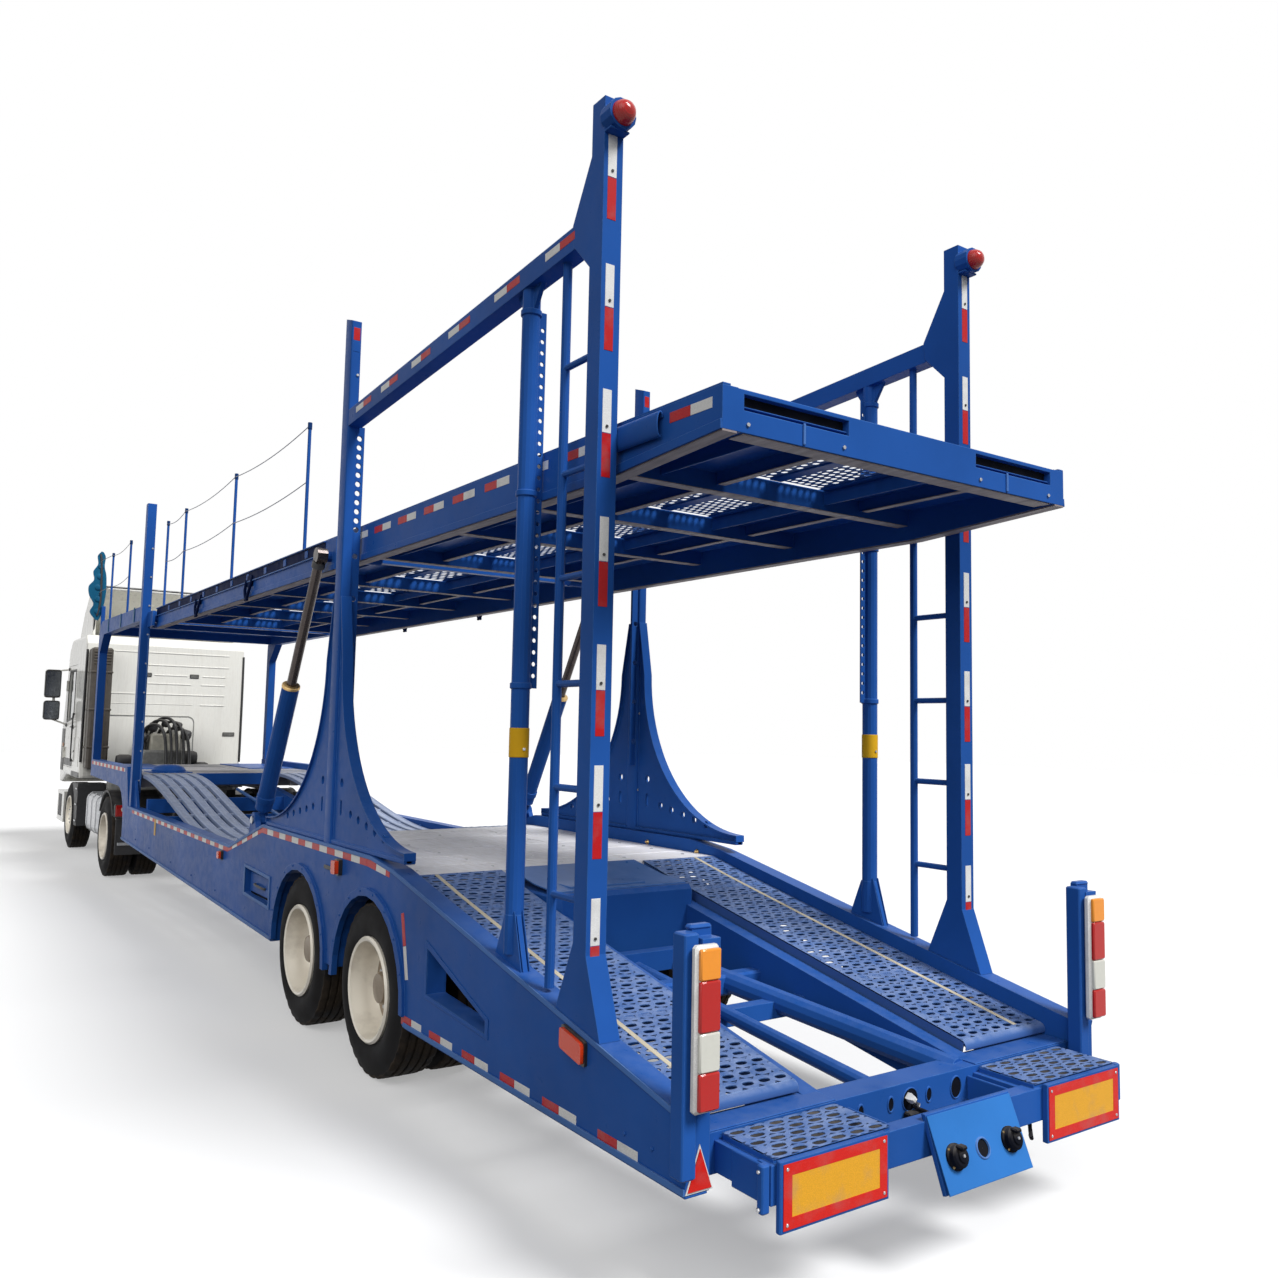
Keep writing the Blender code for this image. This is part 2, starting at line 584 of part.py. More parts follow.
def slat_track(line, ties):
    track = None
    for y0, y1 in SLATS:
        slat = outline(strip_outline(line, 0.045), y0, y1)
        track = join(track, slat) if track else slat
    for x in ties:
        z = along(line, x + 0.04)
        track = join(track, box(x, x + 0.06, SLATS[0][0] + 0.01, SLATS[-1][1] - 0.01, z - 0.043, z - 0.015))
    return track


finish_pair(slat_track(WELL_LINE, (5.75, 6.95)), "slat_track_{}", "trailer", BLUE)
finish_pair(slat_track(NECK_LINE, (8.15, 9.35, 10.45)), "neck_slats_{}", "trailer", BLUE)


def gooseneck():
    x0, x1 = NECK_LINE[-1][0] + GAP, TRAILER_FRONT_X - 0.01
    plate = box(x0, x1, -DECK_HALF, DECK_HALF, NECK_DECK_Z - 0.05, NECK_DECK_Z)
    for y in (-0.75, 0.0, 0.75):
        plate = join(plate, box(x0 + 0.1, x1 - 0.1, y - 0.05, y + 0.05, 1.25, NECK_DECK_Z - 0.03))
    for x in (x0 + 0.25, 12.2, 13.2, x1 - 0.15):
        plate = join(plate, box(x, x + 0.1, -DECK_HALF + 0.02, DECK_HALF - 0.02, 1.245, NECK_DECK_Z - 0.02))
    beam = box(NECK_BEAM_X, x1 - 0.17, SPINE_Y, SPINE_Y + SPINE_T, COUPLER_Z + 0.02, 1.26)
    plate = join(plate, beam, mirrored(beam))
    return plate


finish(gooseneck(), "gooseneck_deck", "trailer", PLATE)
coupler = box(KINGPIN_X - 0.55, KINGPIN_X + 0.75, -SPINE_Y + GAP, SPINE_Y - GAP, COUPLER_Z, COUPLER_Z + 0.02)
coupler = join(coupler, box(KINGPIN_X - 0.30, KINGPIN_X + 0.30, -0.30, 0.30, COUPLER_Z + 0.01, 1.2497 - GAP),
               rod((KINGPIN_X, 0, COUPLER_Z + 0.01), (KINGPIN_X, 0, COUPLER_Z - 0.085), 0.0255, 14))
finish(coupler, "kingpin_plate", "trailer", DARK, metal=0.6)

# Trailer axles, legs.


def trailer_axle(axle_x):
    """Round axle tube with its springs, which hang under the spine beams."""
    centre_y = SPINE_Y + SPINE_T / 2
    spring = [(axle_x - 0.56, 0.70), (axle_x - 0.3, 0.62), (axle_x + 0.3, 0.62), (axle_x + 0.56, 0.70),
              (axle_x + 0.56, 0.745), (axle_x + 0.3, 0.69), (axle_x - 0.3, 0.69), (axle_x - 0.56, 0.745)]
    axle = rod((axle_x, -AXLE_END, TYRE_R), (axle_x, AXLE_END, TYRE_R), 0.075, 14)
    for sign in (1, -1):
        y = sign * centre_y
        axle = join(axle, outline(spring, y - 0.04, y + 0.04),
                    box(axle_x - 0.08, axle_x + 0.08, y - 0.06, y + 0.06, TYRE_R + 0.02, 0.635),
                    box(axle_x - 0.60, axle_x - 0.50, y - 0.045, y + 0.045, 0.69, 0.84 - GAP),
                    box(axle_x + 0.50, axle_x + 0.60, y - 0.045, y + 0.045, 0.69, 0.84 - GAP))
    return axle


for number, axle_x in enumerate(AXLE_X, 1):
    finish(trailer_axle(axle_x), f"trailer_axle_{number}", "trailer", DARK, metal=0.4)

legs = rod((10.75, -0.70, 0.75), (10.75, 0.70, 0.75), 0.02, 10)
for sign in (1, -1):
    y = sign * 0.72
    legs = join(legs, box(10.69, 10.81, y - 0.06, y + 0.06, 0.56, 1.19),
                box(10.71, 10.79, y - 0.04, y + 0.04, 0.36, 0.60), box(10.64, 10.86, y - 0.11, y + 0.11, 0.34, 0.37),
                box(10.69, 10.81, min(sign * (SPINE_Y + SPINE_T + GAP), y), max(sign * (SPINE_Y + SPINE_T + GAP), y), 1.0, 1.12))
finish(legs, "landing_legs", "trailer", DARK)

# Upper decks.


def upper_frame(x0, x1, end_depth, cross):
    """Side beams, cross-members and wheel tracks of one upper deck section."""
    top, depth = UPPER_TOP_Z, UPPER_DEPTH
    side = [(x0, top - end_depth), (x1, top - depth), (x1, top), (x0, top)]
    if end_depth != depth:
        side.insert(1, (x0 + 0.9, top - depth))
    beam = outline(side, UPPER_HALF - UPPER_BEAM, UPPER_HALF)
    frame = join(beam, mirrored(beam))
    for x in cross:
        frame = join(frame, box(x, x + 0.07, -UPPER_HALF + 0.05, UPPER_HALF - 0.05, top - 0.15, top - 0.045))
    for sign in (1, -1):
        y = sorted((sign * (UPPER_HALF - 0.75), sign * (UPPER_HALF - 0.03)))
        frame = join(frame, box(x0 + 0.04, x1 - 0.04, y[0], y[1], top - 0.06, top - 0.03))
    return frame


def rear_upper_deck():
    x0, x1 = 0.02, ELBOW_X - 0.07
    deck = upper_frame(x0, x1, REAR_END_DEPTH, (0.95, 1.9, 2.85, x1 - 0.09))
    deck = join(deck, box(x0, x0 + 0.08, -UPPER_HALF + 0.02, UPPER_HALF - 0.02, UPPER_TOP_Z - REAR_END_DEPTH,
                          UPPER_TOP_Z - 0.002))
    for sign in (1, -1):
        y = sorted((sign * 0.42, sign * (UPPER_HALF - 0.11)))
        deck = cut(deck, box(x0 - 0.1, x0 + 0.05, y[0], y[1], UPPER_TOP_Z - 0.085, UPPER_TOP_Z - 0.02))
        y = sorted((sign * (ELBOW_Y + GAP), sign * (ELBOW_Y + ELBOW_WIDE)))
        knuckle = rod((ELBOW_X, y[0], ELBOW_Z), (ELBOW_X, y[1], ELBOW_Z), 0.045, 12)
        deck = join(deck, knuckle, box(x1 - 0.05, ELBOW_X - 0.01, y[0], y[1], ELBOW_Z - 0.03, ELBOW_Z + 0.03))
    return deck


def front_upper_deck():
    x0, x1 = ELBOW_X + 0.07, DECK_PIVOT_X + 0.06
    deck = upper_frame(x0, x1, UPPER_DEPTH, (x0 + 0.02, 5.7, 6.9, 8.1, 9.3, x1 - 0.10))
    for sign in (1, -1):
        y = sorted((sign * (ELBOW_Y - ELBOW_WIDE), sign * ELBOW_Y))
        knuckle = rod((ELBOW_X, y[0], ELBOW_Z), (ELBOW_X, y[1], ELBOW_Z), 0.045, 12)
        deck = join(deck, knuckle, box(ELBOW_X + 0.01, x0 + 0.05, y[0], y[1], ELBOW_Z - 0.03, ELBOW_Z + 0.03))
        # pivot pins towards the front posts, and the bosses of the lift cylinders
        deck = join(deck, rod((DECK_PIVOT_X, sign * (UPPER_HALF - 0.06), DECK_PIVOT_Z), (DECK_PIVOT_X, sign * (post_in - GAP), DECK_PIVOT_Z), 0.04, 12),
                    rod((EYE[0], sign * (UPPER_HALF - 0.06), EYE[2]), (EYE[0], sign * (EYE[1] - 0.04 - GAP), EYE[2]), 0.04, 12))
    for x in RAIL_POST_X:
        deck = join(deck, rod((x, UPPER_HALF - 0.03, UPPER_TOP_Z - 0.05), (x, UPPER_HALF - 0.03, UPPER_TOP_Z + RAIL_H), RAIL_R, 8))
    return deck


finish(rear_upper_deck(), "rear_upper_deck", "rear_deck", BLUE)
finish(front_upper_deck(), "front_upper_deck", "front_deck", BLUE)

# Lift cylinders.
lift_line = Vector(EYE) - Vector(FOOT)
lift_length, lift_dir = lift_line.length, lift_line.normalized()
foot_at = Vector(FOOT)
barrel = rod(foot_at + lift_dir * 0.11, foot_at + lift_dir * BARREL_L, BARREL_R, 16)
eye = rod((FOOT[0], FOOT[1] - EYE_HALF, FOOT[2]), (FOOT[0], FOOT[1] + EYE_HALF, FOOT[2]), EYE_R - 0.004, 14)
barrel = join(barrel, eye, rod(foot_at, foot_at + lift_dir * 0.13, EYE_HALF - 0.001, 10))
barrel = cut(barrel, rod(foot_at + lift_dir * 0.15, foot_at + lift_dir * (BARREL_L + 0.1), BORE_R, 16))
finish_pair(barrel, "lift_barrel_{}", "cylinder_{}", BLUE)
lift_rod = rod(foot_at + lift_dir * (BARREL_L - 0.12), foot_at + lift_dir * (lift_length - 0.02), ROD_R, 16)
lift_rod = join(lift_rod, rod((EYE[0], EYE[1] - 0.04, EYE[2]), (EYE[0], EYE[1] + 0.035, EYE[2]), 0.055, 14))
finish_pair(lift_rod, "lift_rod_{}", "rod_{}", DARK, rough=0.2, metal=0.9)

# Wheels.
# profiles of (radius, distance outwards from the wheel's middle), one loop each


def dual_profile(radius):
    """Two tyres on one deep-dished hub, closed at the hub cap."""
    k = radius / TYRE_R
    return [(0.0, 0.13), (0.10, 0.13), (0.125, 0.10), (0.125, 0.015), (0.25 * k, 0.015), (0.25 * k, 0.315),
            (0.42 * k, 0.33), (0.485 * k, 0.30), (radius, 0.265), (radius, 0.04), (0.31 * k, 0.0),
            (radius, -0.04), (radius, -0.265), (0.485 * k, -0.30), (0.42 * k, -0.33), (0.25 * k, -0.315),
            (0.25 * k, -HUB_BACK), (0.0, -HUB_BACK)]


def single_profile(radius):
    """One front tyre with its hub cap outwards."""
    return [(0.0, 0.12), (0.11, 0.12), (0.13, 0.09), (0.13, 0.07), (0.27, 0.05), (0.28, 0.135), (0.42, 0.15),
            (0.50, 0.13), (radius, 0.10), (radius, -0.10), (0.50, -0.13), (0.42, -0.15), (0.28, -0.135),
            (0.26, -0.12), (0.25, HUB_SEAT - 0.02), (0.06, HUB_SEAT), (0.0, HUB_SEAT)]


def wheel(profile, centre, sign):
    return turned([(r, sign * y) for r, y in profile], centre)


for side, sign in SIDES:
    for number, axle_x in enumerate(AXLE_X, 1):
        finish(wheel(dual_profile(TYRE_R), (axle_x, sign * WHEEL_Y, TYRE_R), sign),
               f"trailer_wheel_{number}_{side}", f"trailer_wheel_{number}_{side}", BLACK, rough=0.8)
    finish(wheel(dual_profile(DRIVE_R), (DRIVE_X, sign * WHEEL_Y, DRIVE_R), sign),
           f"drive_wheel_{side}", f"drive_wheel_{side}", BLACK, rough=0.8)
    finish(wheel(single_profile(DRIVE_R), (STEER_X, sign * FRONT_WHEEL_Y, DRIVE_R), sign),
           f"front_wheel_{side}", f"front_wheel_{side}", BLACK, rough=0.8)

# Tractor.


def tractor_frame():
    rail = box(FRAME_REAR_X, FRAME_FRONT_X, RAIL_Y, RAIL_Y + RAIL_T, RAIL_BOTTOM, RAIL_TOP)
    frame = join(rail, mirrored(rail))
    for x in (FRAME_REAR_X, 13.6, 14.9):
        frame = join(frame, box(x, x + 0.09, -RAIL_Y - 0.02, RAIL_Y + 0.02, RAIL_BOTTOM + 0.02, RAIL_TOP - 0.02))
    # rear lamp beam
    lamps = WHEEL_Y + 0.08
    frame = join(frame, box(FRAME_REAR_X - 0.05, FRAME_REAR_X + 0.02, -lamps, lamps, 0.74, 0.84))
    for sign in (1, -1):
        # mudguards over the drive wheels, on their stays
        y = sorted((sign * (WHEEL_Y - 0.30), sign * (WHEEL_Y + 0.30)))
        shell = arc(DRIVE_X, DRIVE_R, DRIVE_R + 0.075, 150, 30, 10)
        shell += list(reversed(arc(DRIVE_X, DRIVE_R, DRIVE_R + 0.055, 150, 30, 10)))
        stay = sorted((sign * (RAIL_Y + 0.04), sign * (WHEEL_Y - 0.26)))
        frame = join(frame, outline(shell, y[0], y[1]),
                     box(DRIVE_X - 0.50, DRIVE_X - 0.45, stay[0], stay[1], 0.84, 0.88),
                     box(DRIVE_X + 0.45, DRIVE_X + 0.50, stay[0], stay[1], 0.84, 0.88))
        # rests under the cab's rear corners
        y = sorted((sign * RAIL_Y, sign * (RAIL_Y + RAIL_T)))
        frame = join(frame, box(CAB_REAR_X + 0.06, CAB_REAR_X + 0.16, y[0], y[1], RAIL_TOP - 0.02, CAB_FLOOR_Z - GAP))
    # steps with the rear half of the front wheel arch
    step = outline([(15.52, 0.42), (15.78, 0.42)] + arc(STEER_X, DRIVE_R, 0.60, 180, 118, 6) + [(15.52, 1.07)],
                   CAB_HALF - 0.40, CAB_HALF)
    step = join(step, box(15.54, 15.66, RAIL_Y + RAIL_T - 0.01, CAB_HALF - 0.38, 0.80, 0.92))
    return join(frame, step, mirrored(step))


finish(tractor_frame(), "tractor_frame", "tractor", DARK)

plate_z = COUPLER_Z - GAP
fifth = rod((KINGPIN_X, 0, plate_z - 0.05), (KINGPIN_X, 0, plate_z), 0.46, 20)
fifth = cut(fifth, outline([(KINGPIN_X - 0.6, plate_z - 0.2), (KINGPIN_X - 0.6, plate_z + 0.1),
                            (KINGPIN_X + 0.027, plate_z + 0.1), (KINGPIN_X + 0.027, plate_z - 0.2)], -0.03, 0.03))
fifth = join(fifth, box(KINGPIN_X - 0.10, KINGPIN_X + 0.16, -0.46, -0.34, RAIL_TOP + GAP, plate_z - 0.03),
             box(KINGPIN_X - 0.10, KINGPIN_X + 0.16, 0.34, 0.46, RAIL_TOP + GAP, plate_z - 0.03))
finish(fifth, "fifth_wheel", "tractor", DARK, metal=0.6)


def driven_axle():
    axle = rod((DRIVE_X, -AXLE_END, DRIVE_R), (DRIVE_X, AXLE_END, DRIVE_R), 0.085, 14)
    axle = join(axle, turned([(0.0, 0.20), (0.14, 0.16), (0.21, 0.0), (0.14, -0.16), (0.0, -0.20)],
                             (DRIVE_X, 0, DRIVE_R), 16))
    for sign in (1, -1):
        y = sign * (RAIL_Y + RAIL_T / 2)
        spring = [(DRIVE_X - 0.62, 0.66), (DRIVE_X - 0.3, 0.60), (DRIVE_X + 0.3, 0.60), (DRIVE_X + 0.62, 0.66),
                  (DRIVE_X + 0.62, RAIL_BOTTOM - GAP), (DRIVE_X + 0.52, RAIL_BOTTOM - GAP), (DRIVE_X + 0.3, 0.67),
                  (DRIVE_X - 0.3, 0.67), (DRIVE_X - 0.52, RAIL_BOTTOM - GAP), (DRIVE_X - 0.62, RAIL_BOTTOM - GAP)]
        axle = join(axle, outline(spring, y - 0.04, y + 0.04))
    return axle


finish(driven_axle(), "drive_axle", "tractor", DARK, metal=0.4)


def steered_axle():
    beam = box(STEER_X - 0.045, STEER_X + 0.045, -KING_Y + 0.03, KING_Y - 0.03, 0.47, 0.58)
    for sign in (1, -1):
        y = sign * (RAIL_Y + RAIL_T / 2)
        spring = [(STEER_X - 0.66, 0.66), (STEER_X - 0.3, 0.57), (STEER_X + 0.3, 0.57), (STEER_X + 0.66, 0.66),
                  (STEER_X + 0.66, RAIL_BOTTOM - GAP), (STEER_X + 0.56, RAIL_BOTTOM - GAP), (STEER_X + 0.3, 0.63),
                  (STEER_X - 0.3, 0.63), (STEER_X - 0.56, RAIL_BOTTOM - GAP), (STEER_X - 0.66, RAIL_BOTTOM - GAP)]
        beam = join(beam, outline(spring, y - 0.04, y + 0.04),
                    rod((STEER_X, sign * KING_Y, 0.465), (STEER_X, sign * KING_Y, 0.585), KNUCKLE_R, 12))
    return beam


finish(steered_axle(), "front_axle", "tractor", DARK, metal=0.4)
knuckle = rod((STEER_X, KING_Y, 0.38), (STEER_X, KING_Y, 0.465 - GAP), KNUCKLE_R, 12)
knuckle = join(knuckle, box(STEER_X - 0.04, STEER_X + 0.04, KING_Y + 0.02, KING_Y + 0.10, 0.385, 0.46),
               box(STEER_X - 0.04, STEER_X + 0.04, KING_Y + 0.062, KING_Y + 0.10, 0.385, 0.665),
               box(STEER_X - 0.04, STEER_X + 0.04, KING_Y + 0.02, KING_Y + 0.10, 0.59, 0.665),
               rod((STEER_X, KING_Y, 0.585 + GAP), (STEER_X, KING_Y, 0.67), KNUCKLE_R, 12),
               rod((STEER_X, KING_Y + 0.08, DRIVE_R), (STEER_X, FRONT_WHEEL_Y + HUB_SEAT - GAP, DRIVE_R), 0.045, 12))
finish_pair(knuckle, "steering_knuckle_{}", "knuckle_{}", DARK, metal=0.4)

engine = box(15.85, 16.95, -RAIL_Y + GAP, RAIL_Y - GAP, 0.66, 1.08)
finish(engine, "engine_block", "tractor", STEEL, metal=0.3)

tank = box(13.75, 14.95, RAIL_Y + RAIL_T + GAP, HALF_WIDTH - 0.09, 0.42, 0.98)
bevel = tank.modifiers.new("round", "BEVEL")
bevel.width, bevel.segments = 0.10, 3
tank = converted(tank)
finish(tank, "fuel_tank", "tractor", STEEL, rough=0.3, metal=0.8)
locker = box(13.75, 14.80, 0.11 - HALF_WIDTH, -RAIL_Y - RAIL_T - GAP, 0.46, 0.96)
finish(locker, "battery_box", "tractor", DARK)



def pivot_lug(near, far, end_z):
    """A plate round the cab's pivot, reaching from there to height end_z."""
    x, z = CAB_PIVOT
    turn = 0 if end_z < z else 180
    round_end = arc(x, z, PIVOT_LUG_R, turn, turn + 180, 8)
    return outline(round_end + [(round_end[-1][0], end_z), (round_end[0][0], end_z)], min(near, far), max(near, far))


# bumper with the front fenders behind it
bumper = box(17.02, 17.80, -CAB_HALF, CAB_HALF, 0.36, 0.86)
bumper = cut(bumper, box(16.9, 17.68, 0.15 - CAB_HALF, CAB_HALF - 0.15, 0.2, 1.0))
for sign in (1, -1):
    y = sorted((sign * (RAIL_Y + 0.04), sign * (CAB_HALF - 0.10)))
    bumper = join(bumper, box(17.60, 17.70, y[0], y[1], 0.55, 0.80))
    stay = sorted((sign * RAIL_Y, sign * (RAIL_Y + RAIL_T)))
    bumper = join(bumper, box(FRAME_FRONT_X + GAP, 17.70, stay[0], stay[1], RAIL_BOTTOM, 0.84))
bevel = bumper.modifiers.new("round", "BEVEL")
bevel.width, bevel.segments, bevel.limit_method = 0.02, 2, "ANGLE"
bumper = converted(bumper)
for sign in (1, -1):
    bumper = join(bumper, pivot_lug(sign * RAIL_Y, sign * (RAIL_Y + RAIL_T / 2), 0.82))
finish(bumper, "front_bumper", "tractor", WHITE)

# Cab.
# side outline of the cab: (station, height)
CAB_SIDE = ((CAB_REAR_X, CAB_FLOOR_Z), (CAB_REAR_X, 3.26), (CAB_REAR_X + 0.18, CAB_ROOF_Z), (17.15, CAB_ROOF_Z),
            (17.40, 3.24), (17.70, 2.18), (CAB_FRONT_X, 1.95), (CAB_FRONT_X, CAB_NOSE_Z), (17.50, CAB_NOSE_Z), (17.05, CAB_FLOOR_Z))


def shrunk(points, wall):
    """The outline moved inwards by the wall's thickness, corner by corner."""
    made = []
    count = len(points)
    for i in range(count):
        a, b, c = (Vector(points[(i + k) % count]) for k in (-1, 0, 1))
        n1 = Vector(((b - a).y, -(b - a).x)).normalized()
        n2 = Vector(((c - b).y, -(c - b).x)).normalized()
        middle = (n1 + n2).normalized()
        made.append(tuple(b + middle * wall / max(0.3, middle.dot(n1))))
    return made


# the windscreen runs up the front slope between these two corners
SLOPE_TOP, SLOPE_LOW = Vector((17.40, 3.24)), Vector((17.70, 2.18))
slope = (SLOPE_LOW - SLOPE_TOP).normalized()
normal = Vector((-slope.y, slope.x))


def slope_outline(start, end, near, far):
    """A strip along the windscreen's slope, in metres from its top and off its face."""
    return [tuple(SLOPE_TOP + slope * s + normal * n)
            for s, n in ((start, near), (end, near), (end, far), (start, far))]


def hinge_half(sign, low, high, reach):
    """Half of a door hinge: its round knuckle and the leaf towards the shell (+) or the door (-)."""
    y = sorted((sign * (CAB_HALF - 0.005), sign * HINGE_Y))
    x = sorted((HINGE_X, HINGE_X + reach))
    return (rod((HINGE_X, sign * HINGE_Y, low), (HINGE_X, sign * HINGE_Y, high), HINGE_R, 10),
            box(x[0], x[1], y[0], y[1], low + 0.002, high - 0.002))


def cab_shell():
    shell = outline(CAB_SIDE, -CAB_HALF, CAB_HALF)
    bevel = shell.modifiers.new("round", "BEVEL")
    bevel.width, bevel.segments, bevel.limit_method, bevel.angle_limit = 0.06, 2, "ANGLE", math.radians(60)
    shell = converted(shell)
    shell = cut(shell, outline(shrunk(CAB_SIDE, CAB_WALL), -CAB_HALF + CAB_WALL, CAB_HALF - CAB_WALL))
    shell = cut(shell, outline(slope_outline(0.09, 1.03, -0.2, 0.2), -SCREEN_HALF, SCREEN_HALF),
                box(DOOR_X[0], DOOR_X[1], -2, 2, DOOR_Z[0], DOOR_Z[1]))
    for sign in (1, -1):
        shell = join(shell, pivot_lug(sign * (RAIL_Y + RAIL_T / 2 + GAP), sign * (RAIL_Y + RAIL_T), CAB_NOSE_Z + 0.03))
        for z in HINGE_Z:
            shell = join(shell, *hinge_half(sign, z + GAP, z + 0.09, 0.04))
    return shell


finish(cab_shell(), "cab_shell", "cab", WHITE, rough=0.35)
screen = outline(slope_outline(0.09 + GAP, 1.03 - GAP, -0.03, -0.022), GAP - SCREEN_HALF, SCREEN_HALF - GAP)
finish(screen, "windscreen", "cab", GLASS, rough=0.05)


def door():
    y0, y1 = CAB_HALF - DOOR_T, CAB_HALF
    x0, x1 = DOOR_X[0] + DOOR_GAP, DOOR_X[1] - DOOR_GAP
    leaf = box(x0, x1, y0, y1, DOOR_Z[0] + DOOR_GAP, DOOR_Z[1] - DOOR_GAP)
    leaf = cut(leaf, outline([(x0 + 0.10, 2.10), (x1 - 0.08, 2.02), (x1 - 0.08, 2.50), (x1 - 0.16, 2.86), (x0 + 0.10, 2.86)],
                             y0 - 0.1, y1 + 0.1))
    # mirror on two arms at the door's front edge
    x = x1 - 0.06
    leaf = join(leaf, rod((x, y1 - 0.02, 2.90), (x, y1 + 0.24, 2.86), 0.014, 8),
                rod((x, y1 - 0.02, 1.96), (x, y1 + 0.24, 2.06), 0.014, 8),
                box(x - 0.05, x + 0.05, y1 + 0.13, y1 + 0.36, 2.42, 2.88), box(x - 0.05, x + 0.05, y1 + 0.13, y1 + 0.35, 2.05, 2.36),
                box(x - 0.015, x + 0.015, y1 + 0.2, y1 + 0.24, 2.06, 2.87))
    for z in HINGE_Z:
        leaf = join(leaf, *hinge_half(1, z - 0.09, z, -0.04))
    return leaf


finish_pair(door(), "door_{}", "door_{}", WHITE, rough=0.35)
x0, x1 = DOOR_X[0] + DOOR_GAP + GAP, DOOR_X[1] - DOOR_GAP - GAP
pane = outline([(x0 + 0.10, 2.10 + GAP), (x1 - 0.08, 2.02 + GAP), (x1 - 0.08, 2.50), (x1 - 0.16, 2.86 - GAP), (x0 + 0.10, 2.86 - GAP)],
               CAB_HALF - 0.03, CAB_HALF - 0.022)
finish_pair(pane, "door_glass_{}", "door_{}", GLASS, rough=0.05)


def deflector():
    z = CAB_ROOF_Z + GAP
    outer = [(17.10, z), (17.05, z + 0.10), (16.75, z + 0.42), (16.35, z + 0.68), (15.95, z + 0.80), (15.85, z + 0.80),
             (15.75, z)]
    hood = outline(outer, -INSIDE_HALF, INSIDE_HALF)
    bevel = hood.modifiers.new("round", "BEVEL")
    bevel.width, bevel.segments, bevel.limit_method, bevel.angle_limit = 0.03, 2, "ANGLE", math.radians(60)
    hood = converted(hood)
    hollow = [(17.00, z - 0.1), (16.98, z + 0.09), (16.72, z + 0.38), (16.33, z + 0.64), (15.95, z + 0.76), (15.5, z + 0.76),
              (15.5, z - 0.1)]
    return cut(hood, outline(hollow, 0.04 - INSIDE_HALF, INSIDE_HALF - 0.04))


finish(deflector(), "roof_deflector", "cab", WHITE, rough=0.35)


def interior():
    z = CAB_FLOOR_Z + CAB_WALL + GAP
    wide = INSIDE_HALF
    inside = box(15.60, 17.0, -wide, wide, z, z + 0.06)
    inside = join(inside, box(17.0, 17.35, -wide, wide, z, 2.0), box(16.95, 17.45, -wide, wide, 1.7, 2.02),
                  box(15.60, 16.15, -wide, wide, z + 0.03, 1.85))
    for y in (-0.62, 0.62):
        inside = join(inside, box(16.30, 16.80, y - 0.25, y + 0.25, z + 0.03, 1.75),
                      outline([(16.22, 1.70), (16.42, 1.70), (16.32, 2.45), (16.18, 2.45)], y - 0.23, y + 0.23),
                      outline([(16.16, 2.43), (16.30, 2.43), (16.28, 2.68), (16.18, 2.68)], y - 0.14, y + 0.14))
    wheel_ring = turned([(0.21, 0.014), (0.235, 0.0), (0.21, -0.014), (0.19, 0.0)], (0, 0, 0), 16)
    wheel_ring = join(wheel_ring, box(-0.21, 0.21, -0.01, 0.01, -0.02, 0.02))
    wheel_ring.matrix_world = Matrix.Translation((16.84, 0.62, 2.08)) @ Matrix.Rotation(math.radians(55), 4, "Y") @ Matrix.Rotation(math.pi / 2, 4, "X")
    return join(inside, converted(wheel_ring), rod((16.84, 0.62, 2.08), (17.1, 0.62, 1.90), 0.025, 8))


finish(interior(), "cab_interior", "cab", DARK)
stack = box(15.18, CAB_REAR_X - GAP, CAB_HALF - 0.34, CAB_HALF - 0.04, 1.30, 3.18)
bevel = stack.modifiers.new("round", "BEVEL")
bevel.width, bevel.segments = 0.03, 1
stack = converted(stack)
finish(stack, "air_intake_stack", "cab", DARK)
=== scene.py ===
import math

import bmesh
import bpy
import numpy as np
from mathutils import Matrix, Vector
from mathutils.geometry import delaunay_2d_cdt


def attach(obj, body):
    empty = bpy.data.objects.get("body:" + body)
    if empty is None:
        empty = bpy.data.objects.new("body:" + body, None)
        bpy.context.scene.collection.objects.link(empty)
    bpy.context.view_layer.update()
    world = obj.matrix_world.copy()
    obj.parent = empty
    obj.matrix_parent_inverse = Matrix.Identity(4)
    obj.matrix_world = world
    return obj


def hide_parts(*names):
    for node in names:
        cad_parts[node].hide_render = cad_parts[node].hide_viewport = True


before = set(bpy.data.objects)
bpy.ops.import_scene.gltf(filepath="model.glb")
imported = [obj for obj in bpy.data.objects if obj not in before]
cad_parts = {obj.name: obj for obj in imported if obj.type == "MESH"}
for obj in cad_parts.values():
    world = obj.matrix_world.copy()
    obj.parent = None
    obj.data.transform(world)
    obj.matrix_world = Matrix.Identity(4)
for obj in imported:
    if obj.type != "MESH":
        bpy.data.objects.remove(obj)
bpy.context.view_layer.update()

bl_info = {
    "name": "Car transporter dressing",
    "version": (1, 0, 0),
    "blender": (4, 5, 0),
    "location": "3D View > Sidebar > Transporter",
    "description": "Finishes, perforated tracks, wheels, lamps, tape and cab details of a car transporter",
    "category": "Object",
}

MIDDLE_X = 8.73        # the frame's origin; stations count forward from the side frames' rear edge
SIDES = (("left", 1.0), ("right", -1.0))
SIGNS = (1.0, -1.0)

